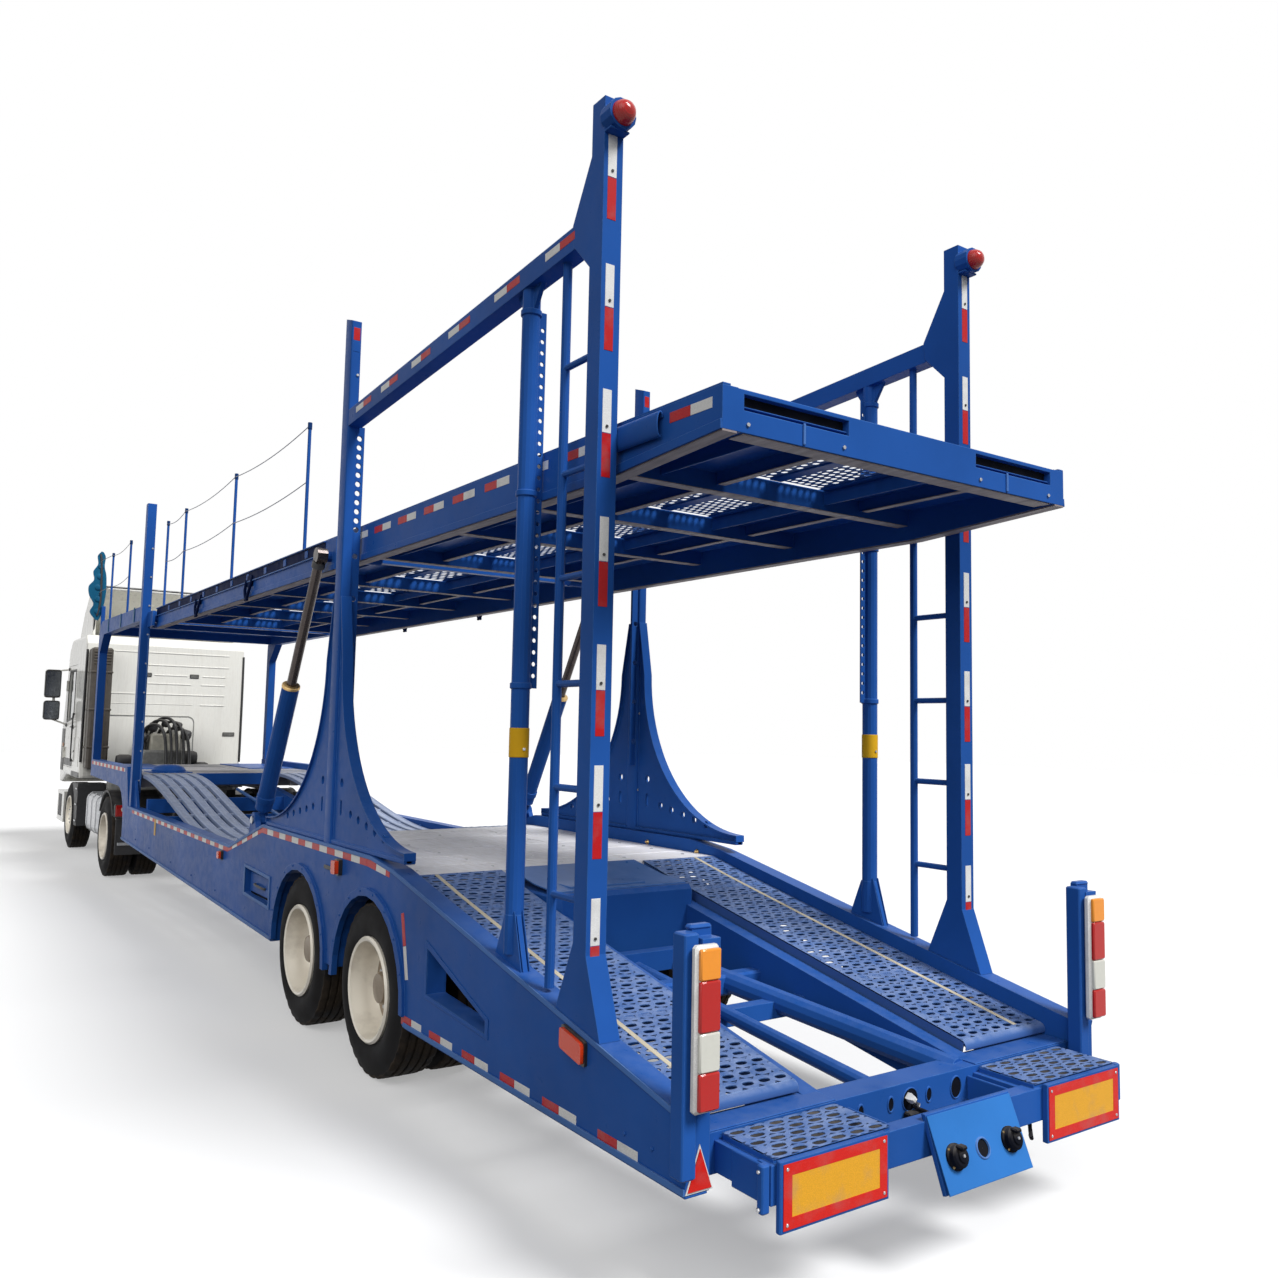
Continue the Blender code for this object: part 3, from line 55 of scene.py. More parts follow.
# stations and heights of the steel, in metres
SILL = ((0.0, 0.7), (2.75, 1.25), (3.1, 1.29), (5.35, 1.29), (6.3, 1.04), (10.99, 1.04), (11.18, 1.5),
    (14.0, 1.5))
PANEL_FOOT = ((0.0, 0.43), (2.56, 0.43), (5.0, 0.47), (11.3, 0.62))
REAR_TRACK = ((0.21, 0.66), (2.45, 1.12), (2.8, 1.2))
OUTSIDE, INSIDE = 1.25, 1.1397         # faces of the side frames
TOUCH = 0.0003                         # gap between faces that lie on each other
REAR_POST_X, MID_POST_X, FRONT_POST_X = 0.69, 3.83, 10.82
REAR_TAPE_TOPS = (4.69, 4.1, 3.54, 2.98, 2.43, 1.92, 1.37)
DECK_TOP, DECK_HALF = 3.41, 1.11
ELBOW_X = 4.3
TRAILER_AXLES, DRIVE_X, STEER_X = (3.11, 4.42), 12.7, 16.4
TWIN_Y, SINGLE_Y, TWIN_SPREAD = 0.92, 1.055, 0.165
TRAILER_TYRE, TRACTOR_TYRE, BEAD = 0.505, 0.525, 0.292

# the photograph's camera, fitted to wheels and posts: place, turns in radians, focal length in pixels
CAMERA_AT = (-3.0984, 3.6587, 2.073)
CAMERA_YAW, CAMERA_PITCH, CAMERA_ROLL = -0.6098, 0.0847, 0.0196
FOCAL_PIXELS, PHOTO_PIXELS, SENSOR = 1066.184, 1278, 36.0
SKY_SEEN, SKY_LIGHT = 1.0, 0.23
# name, direction it comes from, strength and softness
SUNS = (("key", (-0.6, -0.25, 0.75), 3.4, 0.35), ("fill", (-0.5, 0.65, 0.57), 1.2, 0.9))


# Shapes. Each is a pair: corners as an (n, 3) array in stations, and its faces.

def heights(table, x):
    """Height of a bent line at stations x: straight between its (x, z) corners."""
    table = np.array(table)
    return np.interp(x, table[:, 0], table[:, 1])


def path_of(x, y, z):
    """Points of a path from their three values; a single number serves for all of them."""
    return np.stack(np.broadcast_arrays(x, y, z), 1)


def quads(rows, columns, round_rows=False, round_columns=False):
    """Faces of a grid of rows by columns corners; a round direction closes on its first corner."""
    r = np.arange(rows if round_rows else rows - 1)[:, None]
    c = np.arange(columns if round_columns else columns - 1)[None, :]
    r1, c1 = (r + 1) % rows, (c + 1) % columns
    return np.stack([r * columns + c, r1 * columns + c, r1 * columns + c1, r * columns + c1], -1).reshape(-1,
        4).tolist()


def caps(rows, columns):
    """The two flat ends of such a grid whose columns go round."""
    return [list(range(columns))[::-1], list(range((rows - 1) * columns, rows * columns))]


def carried(profile, path, up=(0.0, 0.0, 1.0), widths=None):
    """A closed profile carried along a path.

    At each point of the path the profile's first value goes along side = up x tangent, its second
    along tangent x side: P(i, j) = path(i) + a(j) side(i) + b(j) lift(i). Ends are closed flat.
    """
    profile, path = np.asarray(profile, float), np.asarray(path, float)
    tangent = np.gradient(path, axis=0)
    tangent /= np.linalg.norm(tangent, axis=1)[:, None]
    side = np.cross(np.asarray(up, float), tangent)
    side /= np.linalg.norm(side, axis=1)[:, None]
    lift = np.cross(tangent, side)
    size = np.ones(len(path)) if widths is None else np.asarray(widths, float)
    corners = (path[:, None] + profile[None, :, :1] * side[:, None] * size[:, None, None] + profile[None, :,
        1:] * lift[:, None] * size[:, None, None])
    return corners.reshape(-1, 3), quads(len(path), len(profile), False, True) + caps(len(path), len(profile))


def ring(radius, sides=12):
    """Corners of a round profile: (r cos t, r sin t)."""
    t = np.linspace(0, 2 * np.pi, sides, endpoint=False)
    return np.stack([radius * np.cos(t), radius * np.sin(t)], 1)


def rounded(half_a, half_b, radius, steps=3):
    """A rectangle with round corners: four quarter circles joined by its straight sides."""
    t = np.linspace(0, np.pi / 2, steps + 1)
    quarter = np.stack([np.cos(t), np.sin(t)], 1) * radius
    turned = [np.stack([np.cos(k) * quarter[:, 0] - np.sin(k) * quarter[:, 1],
        np.sin(k) * quarter[:, 0] + np.cos(k) * quarter[:, 1]], 1) + centre
        for k, centre in zip((0, np.pi / 2, np.pi, 1.5 * np.pi),
        np.array(((1, 1), (-1, 1), (-1, -1), (1, -1))) * (half_a - radius, half_b - radius))]
    return np.concatenate(turned)


def smooth_path(points, steps=8):
    """A Catmull-Rom curve through the points: cubic pieces whose slope is half the chord round each point."""
    p = np.asarray(points, float)
    p = np.concatenate([[2 * p[0] - p[1]], p, [2 * p[-1] - p[-2]]])
    t = np.linspace(0, 1, steps, endpoint=False)[:, None]
    pieces = [0.5 * ((2 * b) + (c - a) * t + (2 * a - 5 * b + 4 * c - d) * t ** 2 + (3 * b - a - 3 * c + d)
        * t ** 3) for a, b, c, d in zip(p, p[1:], p[2:], p[3:])]
    return np.concatenate(pieces + [p[-2:-1]])


def bar(start, end, radius, sides=10):
    """A round bar: a ring carried from start to end, its ends drawn in by 0.12 of the radius."""
    start, end = np.asarray(start, float), np.asarray(end, float)
    way = end - start
    unit = way / np.linalg.norm(way)
    up = (0, 0, 1) if abs(unit[2]) < 0.9 else (1, 0, 0)
    drawn = 0.12
    path = np.array([start, start + unit * drawn * radius, end - unit * drawn * radius, end])
    return carried(ring(radius, sides), path, up, (1 - drawn, 1, 1, 1 - drawn))


def block(low, high, edge=0.004, axis=0):
    """A box with its edges taken off: a chamfered rectangle carried along one axis, drawn in at both ends."""
    low, high = np.minimum(low, high).astype(float), np.maximum(low, high).astype(float)
    others = [k for k in range(3) if k != axis]
    half = (high - low) / 2
    edge = min(edge, half.min() * 0.8)
    a, b = half[others[0]], half[others[1]]
    profile = np.array([(a, b - edge), (a - edge, b), (edge - a, b), (-a, b - edge), (-a, edge - b),
        (edge - a, -b), (a - edge, -b), (a, edge - b)])
    shrink = np.array([(1 - edge / a, 1 - edge / b), (1, 1), (1, 1), (1 - edge / a, 1 - edge / b)])
    places = np.array([low[axis], low[axis] + edge, high[axis] - edge, high[axis]])
    corners = np.zeros((4, 8, 3))
    corners[:, :, axis] = places[:, None]
    middle = (low + high) / 2
    for column, k in enumerate(others):
        corners[:, :, k] = middle[k] + profile[None, :, column] * shrink[:, None, column]
    return corners.reshape(-1, 3), quads(4, 8, False, True) + caps(4, 8)


def lathe(profile, centre, axis=1, steps=48, dents=None):
    """A profile of (radius, distance) turned round an axis: P = c + d a + r (cos t u + sin t w)."""
    profile = np.asarray(profile, float)
    t = np.linspace(0, 2 * np.pi, steps, endpoint=False)
    radius = np.broadcast_to(profile[None, :, 0], (steps, len(profile))).copy()
    if dents is not None:
        radius += dents
    u, w = [k for k in range(3) if k != axis]
    corners = np.zeros((steps, len(profile), 3)) + np.asarray(centre, float)
    corners[:, :, axis] += profile[None, :, 1]
    corners[:, :, u] += radius * np.cos(t)[:, None]
    corners[:, :, w] += radius * np.sin(t)[:, None]
    return corners.reshape(-1, 3), quads(steps, len(profile), True, False)


def flat_plate(outline, start, thick, axis=1):
    """A flat outline made as thick as given along an axis, with both faces flat."""
    outline = np.asarray(outline, float)
    count = len(outline)
    corners = np.zeros((2, count, 3))
    others = [k for k in range(3) if k != axis]
    corners[:, :, others[0]], corners[:, :, others[1]] = outline[:, 0], outline[:, 1]
    corners[:, :, axis] = np.array([[start], [start + thick]])
    return corners.reshape(-1, 3), quads(2, count, False, True) + caps(2, count)


def pierced(place, rows, columns, pitch, hole, thick, steps=16):
    """A plate with a field of holes.

    Each cell is a ring of corners on its square edge joined to a ring on its hole, top and bottom:
    (s, t) = cell + edge(k) and cell + hole (cos a, sin a). place(s, t, depth) puts a corner in space.
    Odd rows move half a pitch sideways and get plain half cells at their ends.
    """
    a = np.arange(steps) * 2 * np.pi / steps
    direction = np.stack([np.cos(a), np.sin(a)], 1)
    edge = direction / np.abs(direction).max(1)[:, None] * np.array(pitch) / 2
    inner = np.sign(direction) * np.abs(direction) ** 0.8 * np.array(hole)
    cell = np.concatenate([edge, inner, inner, edge])
    depth = np.repeat([0.0, 0.0, thick, thick], steps)
    loop = quads(4, steps, False, True)
    width = columns * pitch[1]
    corners, faces, total = [], [], 0
    for row in range(rows):
        odd = row % 2
        t = (np.arange(columns - odd) + (1.0 if odd else 0.5)) * pitch[1]
        s = (row + 0.5) * pitch[0]
        flat = cell[None] + np.stack([np.full(len(t), s), t], 1)[:, None]
        points = place(flat[..., 0], flat[..., 1], np.broadcast_to(depth, flat.shape[:2]))
        corners.append(points.reshape(-1, 3))
        base = total + np.arange(len(t))[:, None, None] * 4 * steps
        faces += (np.array(loop)[None] + base).reshape(-1, 4).tolist()
        total += 4 * steps * len(t)
        if odd:
            for t0, t1 in ((0, pitch[1] / 2), (width - pitch[1] / 2, width)):
                ss = np.array([0, 1, 1, 0, 0, 1, 1, 0]) * pitch[0] + row * pitch[0]
                tt = np.array([t0, t0, t1, t1, t0, t0, t1, t1])
                corners.append(place(ss, tt, np.repeat([0.0, thick], 4)))
                faces += [[total + k for k in f] for f in ((0, 1, 2, 3), (7, 6, 5, 4), (0, 4, 5, 1),
                    (3, 2, 6, 7))]
                total += 8
    # rim all round, so that the plate has its thickness at the edges
    length = rows * pitch[0]
    outline = ((0, 0), (length, 0), (length, width), (0, width), (0, 0))
    for (s0, t0), (s1, t1) in zip(outline, outline[1:]):
        count = max(2, int(round(math.hypot(s1 - s0, t1 - t0) / (pitch[0] / 2))) + 1)
        k = np.linspace(0, 1, count)
        rim = [place(s0 + (s1 - s0) * k, t0 + (t1 - t0) * k, np.full(count, d)) for d in (0.0, thick)]
        corners.append(np.concatenate(rim))
        faces += [[total + i for i in f] for f in quads(2, count)]
        total += 2 * count
    return np.concatenate(corners), faces


def inside(points, loops):
    """Even-odd rule: a point is inside where a ray towards +a crosses the loops an odd number of times."""
    crossed = np.zeros(len(points), int)
    for loop in loops:
        a, b = loop, np.roll(loop, -1, 0)
        x, y = points[:, :1], points[:, 1:]
        over = (a[:, 1] > y) != (b[:, 1] > y)
        rise = np.where(a[:, 1] == b[:, 1], 1.0, b[:, 1] - a[:, 1])
        crossed += (over & (a[:, 0] + (y - a[:, 1]) / rise * (b[:, 0] - a[:, 0]) > x)).sum(1)
    return crossed % 2 == 1


def holed(outline, holes, start, thick, axis=1):
    """A flat plate with holes: a constrained triangulation between its loops, with walls all round."""
    loops = [np.asarray(loop, float) for loop in (outline, *holes)]
    ends = np.cumsum([0] + [len(loop) for loop in loops])
    edges = [(int(a + k), int(a + (k + 1) % (b - a))) for a, b in zip(ends, ends[1:]) for k in range(b - a)]
    made = delaunay_2d_cdt([Vector(point) for point in np.concatenate(loops)], edges, [], 0, 1e-7)
    flat, triangles = np.array([tuple(v) for v in made[0]]), np.array(made[2])
    triangles = triangles[inside(flat[triangles].mean(1), loops)]
    others = [k for k in range(3) if k != axis]
    corners, faces, total = [], [], 0
    for depth, turn in ((start, 1), (start + thick, -1)):
        face = np.zeros((len(flat), 3))
        face[:, others[0]], face[:, others[1]], face[:, axis] = flat[:, 0], flat[:, 1], depth
        corners.append(face)
        faces += (triangles[:, ::turn] + total).tolist()
        total += len(flat)
    for loop in loops:
        wall = np.zeros((2, len(loop), 3))
        wall[:, :, others[0]], wall[:, :, others[1]] = loop[:, 0], loop[:, 1]
        wall[:, :, axis] = np.array([[start], [start + thick]])
        corners.append(wall.reshape(-1, 3))
        faces += [[total + i for i in f] for f in quads(2, len(loop), False, True)]
        total += 2 * len(loop)
    return np.concatenate(corners), faces


def upright(profile, low, high):
    """A closed (x, y) profile raised from a flat foot to a top of its own height at each corner."""
    profile = np.asarray(profile, float)
    count = len(profile)
    corners = np.concatenate([np.column_stack([profile, np.full(count, low)]),
        np.column_stack([profile, np.broadcast_to(high, count)])])
    return corners, quads(2, count, False, True) + caps(2, count)


def turned(profile, at, way, steps=24, stretch=1.0):
    """A profile of (radius, distance) turned round any line: P = at + d w + r cos t s + stretch r sin t l."""
    profile, way = np.asarray(profile, float), np.asarray(way, float)
    way = way / np.linalg.norm(way)
    side = np.cross((0, 0, 1) if abs(way[2]) < 0.9 else (1, 0, 0), way)
    side /= np.linalg.norm(side)
    lift = np.cross(way, side)
    t = np.linspace(0, 2 * np.pi, steps, endpoint=False)[:, None, None]
    r, d = profile[None, :, :1], profile[None, :, 1:]
    corners = np.asarray(at, float) + d * way + r * np.cos(t) * side + stretch * r * np.sin(t) * lift
    return corners.reshape(-1, 3), quads(steps, len(profile), True, False)


def eyelet(at, way, radius, stretch):
    """(rim, floor) of a round or oval opening: a raised ring, and the floor sunk inside it, which is made
    dark as painted shade.
    """
    lip, height, steps = 0.005, 0.004, 18
    profile = [(radius, 0.0005), (radius, height), (radius + lip / 2, height + 0.001),
        (radius + lip, height * 0.6), (radius + lip, -0.001)]
    floor = [(radius + 0.001, 0.0006), (0.0005, 0.0006)]
    return turned(profile, at, way, steps, stretch), turned(floor, at, way, steps, stretch)


def placed(shape, origin, a, b, c):
    """A shape turned into place: its first, second and third values go along a, b and c from an origin."""
    return np.asarray(origin, float) + shape[0] @ np.array([a, b, c], float), shape[1]


def hexagon(at, way, radius, height):
    """A bolt head: six flats, its top edge taken off."""
    return turned([(radius, 0.0), (radius, height * 0.8), (radius * 0.85, height), (0.0005, height)], at, way,
        6)


def tube_path(points, radius, sides=8):
    """A round tube along a smooth curve through the points."""
    path = smooth_path(points, 6)
    way = path[-1] - path[0]
    up = (0.0, 0.0, 1.0) if abs(way[2]) < 0.8 * np.linalg.norm(way) else (0.31, 0.95, 0.05)
    return carried(ring(radius, sides), path, up)


RECT = np.array([(-1.0, -1.0), (1.0, -1.0), (1.0, 1.0), (-1.0, 1.0)])


def to_side(value, sign):
    """A point, a way or a list of points with its y times sign; any other value as it is."""
    if isinstance(value, tuple) and len(value) == 3:
        return value[0], sign * value[1], value[2]
    if isinstance(value, list) and len(value[0]) == 3:
        return [to_side(point, sign) for point in value]
    return value


class Piece:
    """The shapes of one piece, gathered before they go into its mesh."""

    def __init__(self):
        self.corners, self.faces, self.finish, self.total = [], [], [], 0

    def add(self, shape, finish=0, mirror=False):
        """Add a shape whose faces take the finish of this number in the piece's list."""
        corners, faces = np.array(shape[0], float), shape[1]
        if mirror:
            corners[:, 1] *= -1
            faces = [list(f)[::-1] for f in faces]
        self.corners.append(corners)
        self.faces += [[self.total + i for i in f] for f in faces]
        self.finish += [finish] * len(faces)
        self.total += len(corners)
        return self

    def fit(self, sign, rows):
        """Add a shape a row: its finish, its maker and what that takes, with points of the left side."""
        for finish, maker, *values in rows:
            self.add(maker(*(to_side(value, sign) for value in values)), finish)

    def both(self, shape, finish=0):
        """Add a shape and its mirror image across the lorry's middle plane."""
        return self.add(shape, finish).add(shape, finish, mirror=True)

    def make(self, name, body, slot, finishes, replaces=(), angle=35):
        """Turn the shapes into one object that rides on a body; finishes names them in MADE, in order."""
        mesh = bpy.data.meshes.new(name)
        corners = np.concatenate(self.corners) - (MIDDLE_X, 0, 0)
        mesh.from_pydata(corners.tolist(), [], self.faces)
        for key in finishes.split():
            mesh.materials.append(MADE[key])
        mesh.polygons.foreach_set("material_index", self.finish)
        bm = bmesh.new()
        bm.from_mesh(mesh)
        bmesh.ops.remove_doubles(bm, verts=bm.verts, dist=1e-5)
        bmesh.ops.recalc_face_normals(bm, faces=bm.faces)
        bm.to_mesh(mesh)
        bm.free()
        mesh.shade_smooth()
        mesh.set_sharp_from_angle(angle=math.radians(angle))
        piece = bpy.data.objects.new(name, mesh)
        bpy.context.scene.collection.objects.link(piece)
        if replaces:
            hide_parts(*replaces)
        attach(piece, body)
        return piece


# Finishes

class Finish:
    """A material with its Principled shader, and short ways to add and link nodes."""

    def __init__(self, name, colour, rough, metal=0.0):
        self.material = bpy.data.materials.new(name)
        self.material.use_nodes = True
        self.tree = self.material.node_tree
        self.shader = self.tree.nodes["Principled BSDF"]
        self.put("Base Color", (*colour, 1.0))
        self.put("Roughness", rough)
        self.put("Metallic", metal)
        self.material.diffuse_color = (*colour, 1.0)
        self.place = self.node("ShaderNodeTexCoord")

    def put(self, key, value):
        self.shader.inputs[key].default_value = value

    def node(self, kind, **inputs):
        """A new node; its inputs are named with _ for a space."""
        made = self.tree.nodes.new(kind)
        for key, value in inputs.items():
            if key in ("operation", "data_type", "samples"):
                setattr(made, key, value)
            else:
                made.inputs[key.replace("_", " ")].default_value = value
        return made

    def link(self, source, target):
        self.tree.links.new(source, target)

    def noise(self, scale, detail=4.0, stretch=None, rough=0.55):
        made = self.node("ShaderNodeTexNoise", Scale=scale, Detail=detail, Roughness=rough)
        if stretch:
            moved = self.node("ShaderNodeMapping")
            moved.inputs["Scale"].default_value = stretch
            self.link(self.place.outputs["Object"], moved.inputs["Vector"])
            self.link(moved.outputs["Vector"], made.inputs["Vector"])
        else:
            self.link(self.place.outputs["Object"], made.inputs["Vector"])
        return made.outputs["Fac"]

    def span(self, source, low, high, to_low=0.0, to_high=1.0):
        made = self.node("ShaderNodeMapRange")
        for key, value in (("From Min", low), ("From Max", high), ("To Min", to_low), ("To Max", to_high)):
            made.inputs[key].default_value = value
        self.link(source, made.inputs["Value"])
        return made.outputs["Result"]

    def times(self, a, b, operation="MULTIPLY"):
        made = self.node("ShaderNodeMath", operation=operation)
        for socket, value in zip(made.inputs, (a, b)):
            if isinstance(value, (int, float)):
                socket.default_value = value
            else:
                self.link(value, socket)
        return made.outputs[0]

    def tint(self, factor, base, over):
        """Base colour mixed towards another by a factor; base is a colour or a socket."""
        made = self.node("ShaderNodeMix", data_type="RGBA")
        sockets = [s for s in made.inputs if s.type == "RGBA"]
        for socket, value in zip(sockets, (base, over)):
            if isinstance(value, tuple):
                socket.default_value = (*value, 1.0)
            else:
                self.link(value, socket)
        self.link(factor, made.inputs[0])
        return [s for s in made.outputs if s.type == "RGBA"][0]

    def colour_from(self, socket):
        self.link(socket, self.shader.inputs["Base Color"])

    def rough_from(self, socket):
        self.link(socket, self.shader.inputs["Roughness"])

    def bump(self, height, strength, distance, edges=None):
        made = self.node("ShaderNodeBump", Strength=strength, Distance=distance)
        self.link(height, made.inputs["Height"])
        if edges is not None:
            self.link(edges, made.inputs["Normal"])
        self.link(made.outputs["Normal"], self.shader.inputs["Normal"])

    def upward(self):
        """How far a face looks up, 0 to 1."""
        parts = self.node("ShaderNodeSeparateXYZ")
        self.link(self.place.outputs["Normal"], parts.inputs["Vector"])
        return self.span(parts.outputs["Z"], 0.35, 0.95)

    def edge_mask(self, radius, low, high):
        """(edges 0 to 1, softened normal), from the angle between the true and the rounded normal."""
        soft = self.node("ShaderNodeBevel", samples=4, Radius=radius)
        true = self.node("ShaderNodeNewGeometry")
        dot = self.node("ShaderNodeVectorMath", operation="DOT_PRODUCT")
        self.link(soft.outputs["Normal"], dot.inputs[0])
        self.link(true.outputs["Normal"], dot.inputs[1])
        return self.span(dot.outputs["Value"], high, low), soft.outputs["Normal"]


def enamel(name, colour, dust=(0.12, 0.19, 0.4), dusty=0.35, rough=0.32, edge=(0.1, 0.24, 0.56), worn=0.6,
        gloss=0.035):
    """Brushed enamel on steel: slow tone changes, dust on what looks up, lighter edges that are partly worn
    paint and partly a painted highlight, orange peel.
    """
    f = Finish(name, colour, rough)
    slow, fine = f.noise(0.9, 5.0), f.noise(14.0, 6.0, rough=0.65)
    deep = tuple(c * 0.72 for c in colour)
    base = f.tint(f.span(slow, 0.35, 0.68), colour, deep)
    settled = f.times(f.times(f.upward(), f.span(fine, 0.3, 0.75)), dusty)
    base = f.tint(settled, base, dust)
    edges, soft = f.edge_mask(0.006, 0.8, 0.995)
    # lighter edge colour weighted by worn: partly worn paint, partly a painted highlight along the edges
    base = f.tint(f.times(f.times(edges, f.span(fine, 0.25, 0.6)), worn), base, edge)
    f.colour_from(base)
    f.rough_from(f.span(fine, 0.3, 0.8, rough - 0.06, rough + 0.16))
    f.bump(f.noise(220.0, 2.0), 0.05, 0.001, soft)
    f.put("Specular IOR Level", gloss)
    return f.material


def worn_plate(name, colour, tone):
    """Walked and driven steel plate: long scuffs, stains and a fine grain."""
    rough = 0.6
    f = Finish(name, colour, rough)
    scuff, stain = f.noise(5.0, 8.0, (1.0, 6.0, 1.0), 0.7), f.noise(1.6, 6.0)
    base = f.tint(f.span(scuff, 0.35, 0.7), colour, tone)
    base = f.tint(f.times(f.span(stain, 0.45, 0.75), 0.5), base, tuple(c * 0.45 for c in colour))
    f.colour_from(base)
    f.rough_from(f.span(scuff, 0.3, 0.7, rough - 0.12, rough + 0.15))
    f.bump(f.noise(90.0, 5.0), 0.12, 0.002)
    return f.material


def sheeting(name, colour):
    """Reflective tape: a fine net of cells under a clear film, a little soiled."""
    rough = 0.38
    f = Finish(name, colour, rough)
    cells = f.node("ShaderNodeTexVoronoi", Scale=230.0)
    f.link(f.place.outputs["Object"], cells.inputs["Vector"])
    soil = f.times(f.span(f.noise(9.0, 6.0), 0.5, 0.85), 0.4)
    base = f.tint(f.span(cells.outputs["Distance"], 0.1, 0.6), colour,
        tuple(min(1.0, c * 0.82) for c in colour))
    f.colour_from(f.tint(soil, base, (0.22, 0.2, 0.2)))
    f.rough_from(f.span(cells.outputs["Distance"], 0.1, 0.6, rough - 0.08, rough + 0.08))
    f.bump(cells.outputs["Distance"], 0.1, 0.0005)
    f.put("Specular IOR Level", 0.15)
    f.put("Coat Weight", 0.08)
    return f.material


def lamp_lens(name, colour):
    """A moulded lens: ribs inside, glossy outside, with the colour deep in the plastic."""
    f = Finish(name, colour, 0.12)
    waves = f.node("ShaderNodeTexWave", Scale=55.0, Distortion=0.6)
    f.link(f.place.outputs["Object"], waves.inputs["Vector"])
    f.colour_from(f.tint(f.times(waves.outputs["Fac"], 0.45), colour,
        tuple(min(1.0, c * 0.45 + 0.02) for c in colour)))
    f.bump(waves.outputs["Fac"], 0.25, 0.002)
    f.rough_from(f.span(waves.outputs["Fac"], 0, 1, 0.1, 0.2))
    f.put("Specular IOR Level", 0.2)
    f.put("Coat Weight", 0.2)
    f.put("Emission Color", (*colour, 1.0))
    f.put("Emission Strength", 0.05)
    return f.material


def rubber(name, tread=False):
    """Tyre rubber: matt black with grey-brown road dust, more of it on the tread."""
    f = Finish(name, (0.018, 0.017, 0.016), 0.78)
    dust = f.span(f.noise(7.0, 7.0), 0.35, 0.75)
    f.colour_from(f.tint(f.times(dust, 0.75 if tread else 0.3), (0.006, 0.006, 0.007),
        (0.085, 0.064, 0.045) if tread else (0.026, 0.023, 0.021)))
    f.rough_from(f.span(dust, 0, 1, 0.7, 0.92))
    f.bump(f.noise(160.0, 4.0), 0.15, 0.001)
    f.put("Specular IOR Level", 0.12)
    return f.material


def rim_paint(name, paint=(0.92, 0.86, 0.74), grime=(0.24, 0.18, 0.12)):
    """Cream-silver wheel paint, glossy, with brake dust in patches."""
    f = Finish(name, paint, 0.26, 0.1)
    dust = f.span(f.noise(4.5, 6.0), 0.48, 0.8)
    f.colour_from(f.tint(f.times(dust, 0.55), paint, grime))
    f.rough_from(f.span(dust, 0, 1, 0.28, 0.6))
    f.bump(f.noise(120.0, 3.0), 0.05, 0.001)
    return f.material


def bare_metal(name, colour, rough, metal=0.9):
    """Machined or plated metal with fine streaks and some grime."""
    f = Finish(name, colour, rough, metal)
    streak = f.noise(30.0, 5.0)
    f.colour_from(f.tint(f.times(f.span(streak, 0.4, 0.8), 0.5), colour, tuple(c * 0.4 for c in colour)))
    f.rough_from(f.span(streak, 0.3, 0.8, max(0.05, rough - 0.06), rough + 0.15))
    f.bump(f.noise(140.0, 3.0), 0.05, 0.001)
    return f.material


def moulded(name, colour, rough, gloss=0.5):
    """Moulded plastic or chassis paint: fine grain, faint grey dust on top."""
    f = Finish(name, colour, rough)
    fine = f.noise(12.0, 6.0)
    settled = f.times(f.times(f.upward(), f.span(fine, 0.3, 0.7)), 0.4)
    f.colour_from(f.tint(settled, f.tint(f.span(fine, 0.35, 0.7), colour, tuple(c * 0.65 for c in colour)),
        (0.25, 0.23, 0.21)))
    f.rough_from(f.span(fine, 0.3, 0.8, rough - 0.08, rough + 0.15))
    f.bump(f.noise(300.0, 2.0), 0.08, 0.001)
    f.put("Specular IOR Level", gloss)
    return f.material


def cab_white(name, colour):
    """Cab enamel: clean white with a faint yellow cast, grime that runs down in streaks, a clear coat."""
    f = Finish(name, colour, 0.28)
    runs = f.noise(3.0, 6.0, (6.0, 6.0, 0.7), 0.65)
    base = f.tint(f.times(f.span(runs, 0.5, 0.8), 0.22), colour, (0.42, 0.37, 0.3))
    edges, soft = f.edge_mask(0.008, 0.8, 0.995)
    f.colour_from(f.tint(f.times(edges, 0.15), base, (0.45, 0.42, 0.38)))
    f.rough_from(f.span(runs, 0.3, 0.8, 0.22, 0.42))
    f.bump(f.noise(160.0, 2.0), 0.03, 0.001, soft)
    f.put("Coat Weight", 0.4)
    return f.material


def tinted_glass(name, colour):
    """Dark window glass: smooth, reflective, a little dust."""
    f = Finish(name, colour, 0.05)
    dust = f.span(f.noise(5.0, 6.0), 0.5, 0.8)
    f.colour_from(f.tint(f.times(dust, 0.25), colour, (0.3, 0.31, 0.31)))
    f.rough_from(f.span(dust, 0, 1, 0.03, 0.22))
    f.bump(f.noise(3.0, 1.0), 0.02, 0.001)
    f.put("Transmission Weight", 0.55)
    f.put("Coat Weight", 0.5)
    return f.material


# Settings

def colour_setting(name, description, default):
    return bpy.props.FloatVectorProperty(name=name, description=description, subtype="COLOR", size=3, min=0.0,
        max=1.0, default=default)


def length_setting(name, description, default, low, high):
    return bpy.props.FloatProperty(name=name, description=description, unit="LENGTH", default=default,
        min=low, max=high)


class TransporterColours(bpy.types.PropertyGroup):
    trailer: colour_setting("Trailer", "Enamel of the trailer's steel", (0.019, 0.098, 0.385))
    track: colour_setting("Tracks", "Worn enamel of the wheel tracks", (0.06, 0.14, 0.38))
    cab: colour_setting("Cab", "Enamel of the cab", (0.8, 0.79, 0.73))
    # deck plate near white: its own pale grey raised with painted light against the upper decks' shade
    plate: colour_setting("Deck plate", "Bare and worn deck plates", (0.88, 0.88, 0.93))
    tape_red: colour_setting("Tape red", "Red of the reflective tape", (0.52, 0.008, 0.012))
    tape_white: colour_setting("Tape white", "White of the reflective tape", (0.82, 0.82, 0.8))
    board: colour_setting("Marker boards", "Yellow of the rear marker boards", (0.86, 0.42, 0.025))


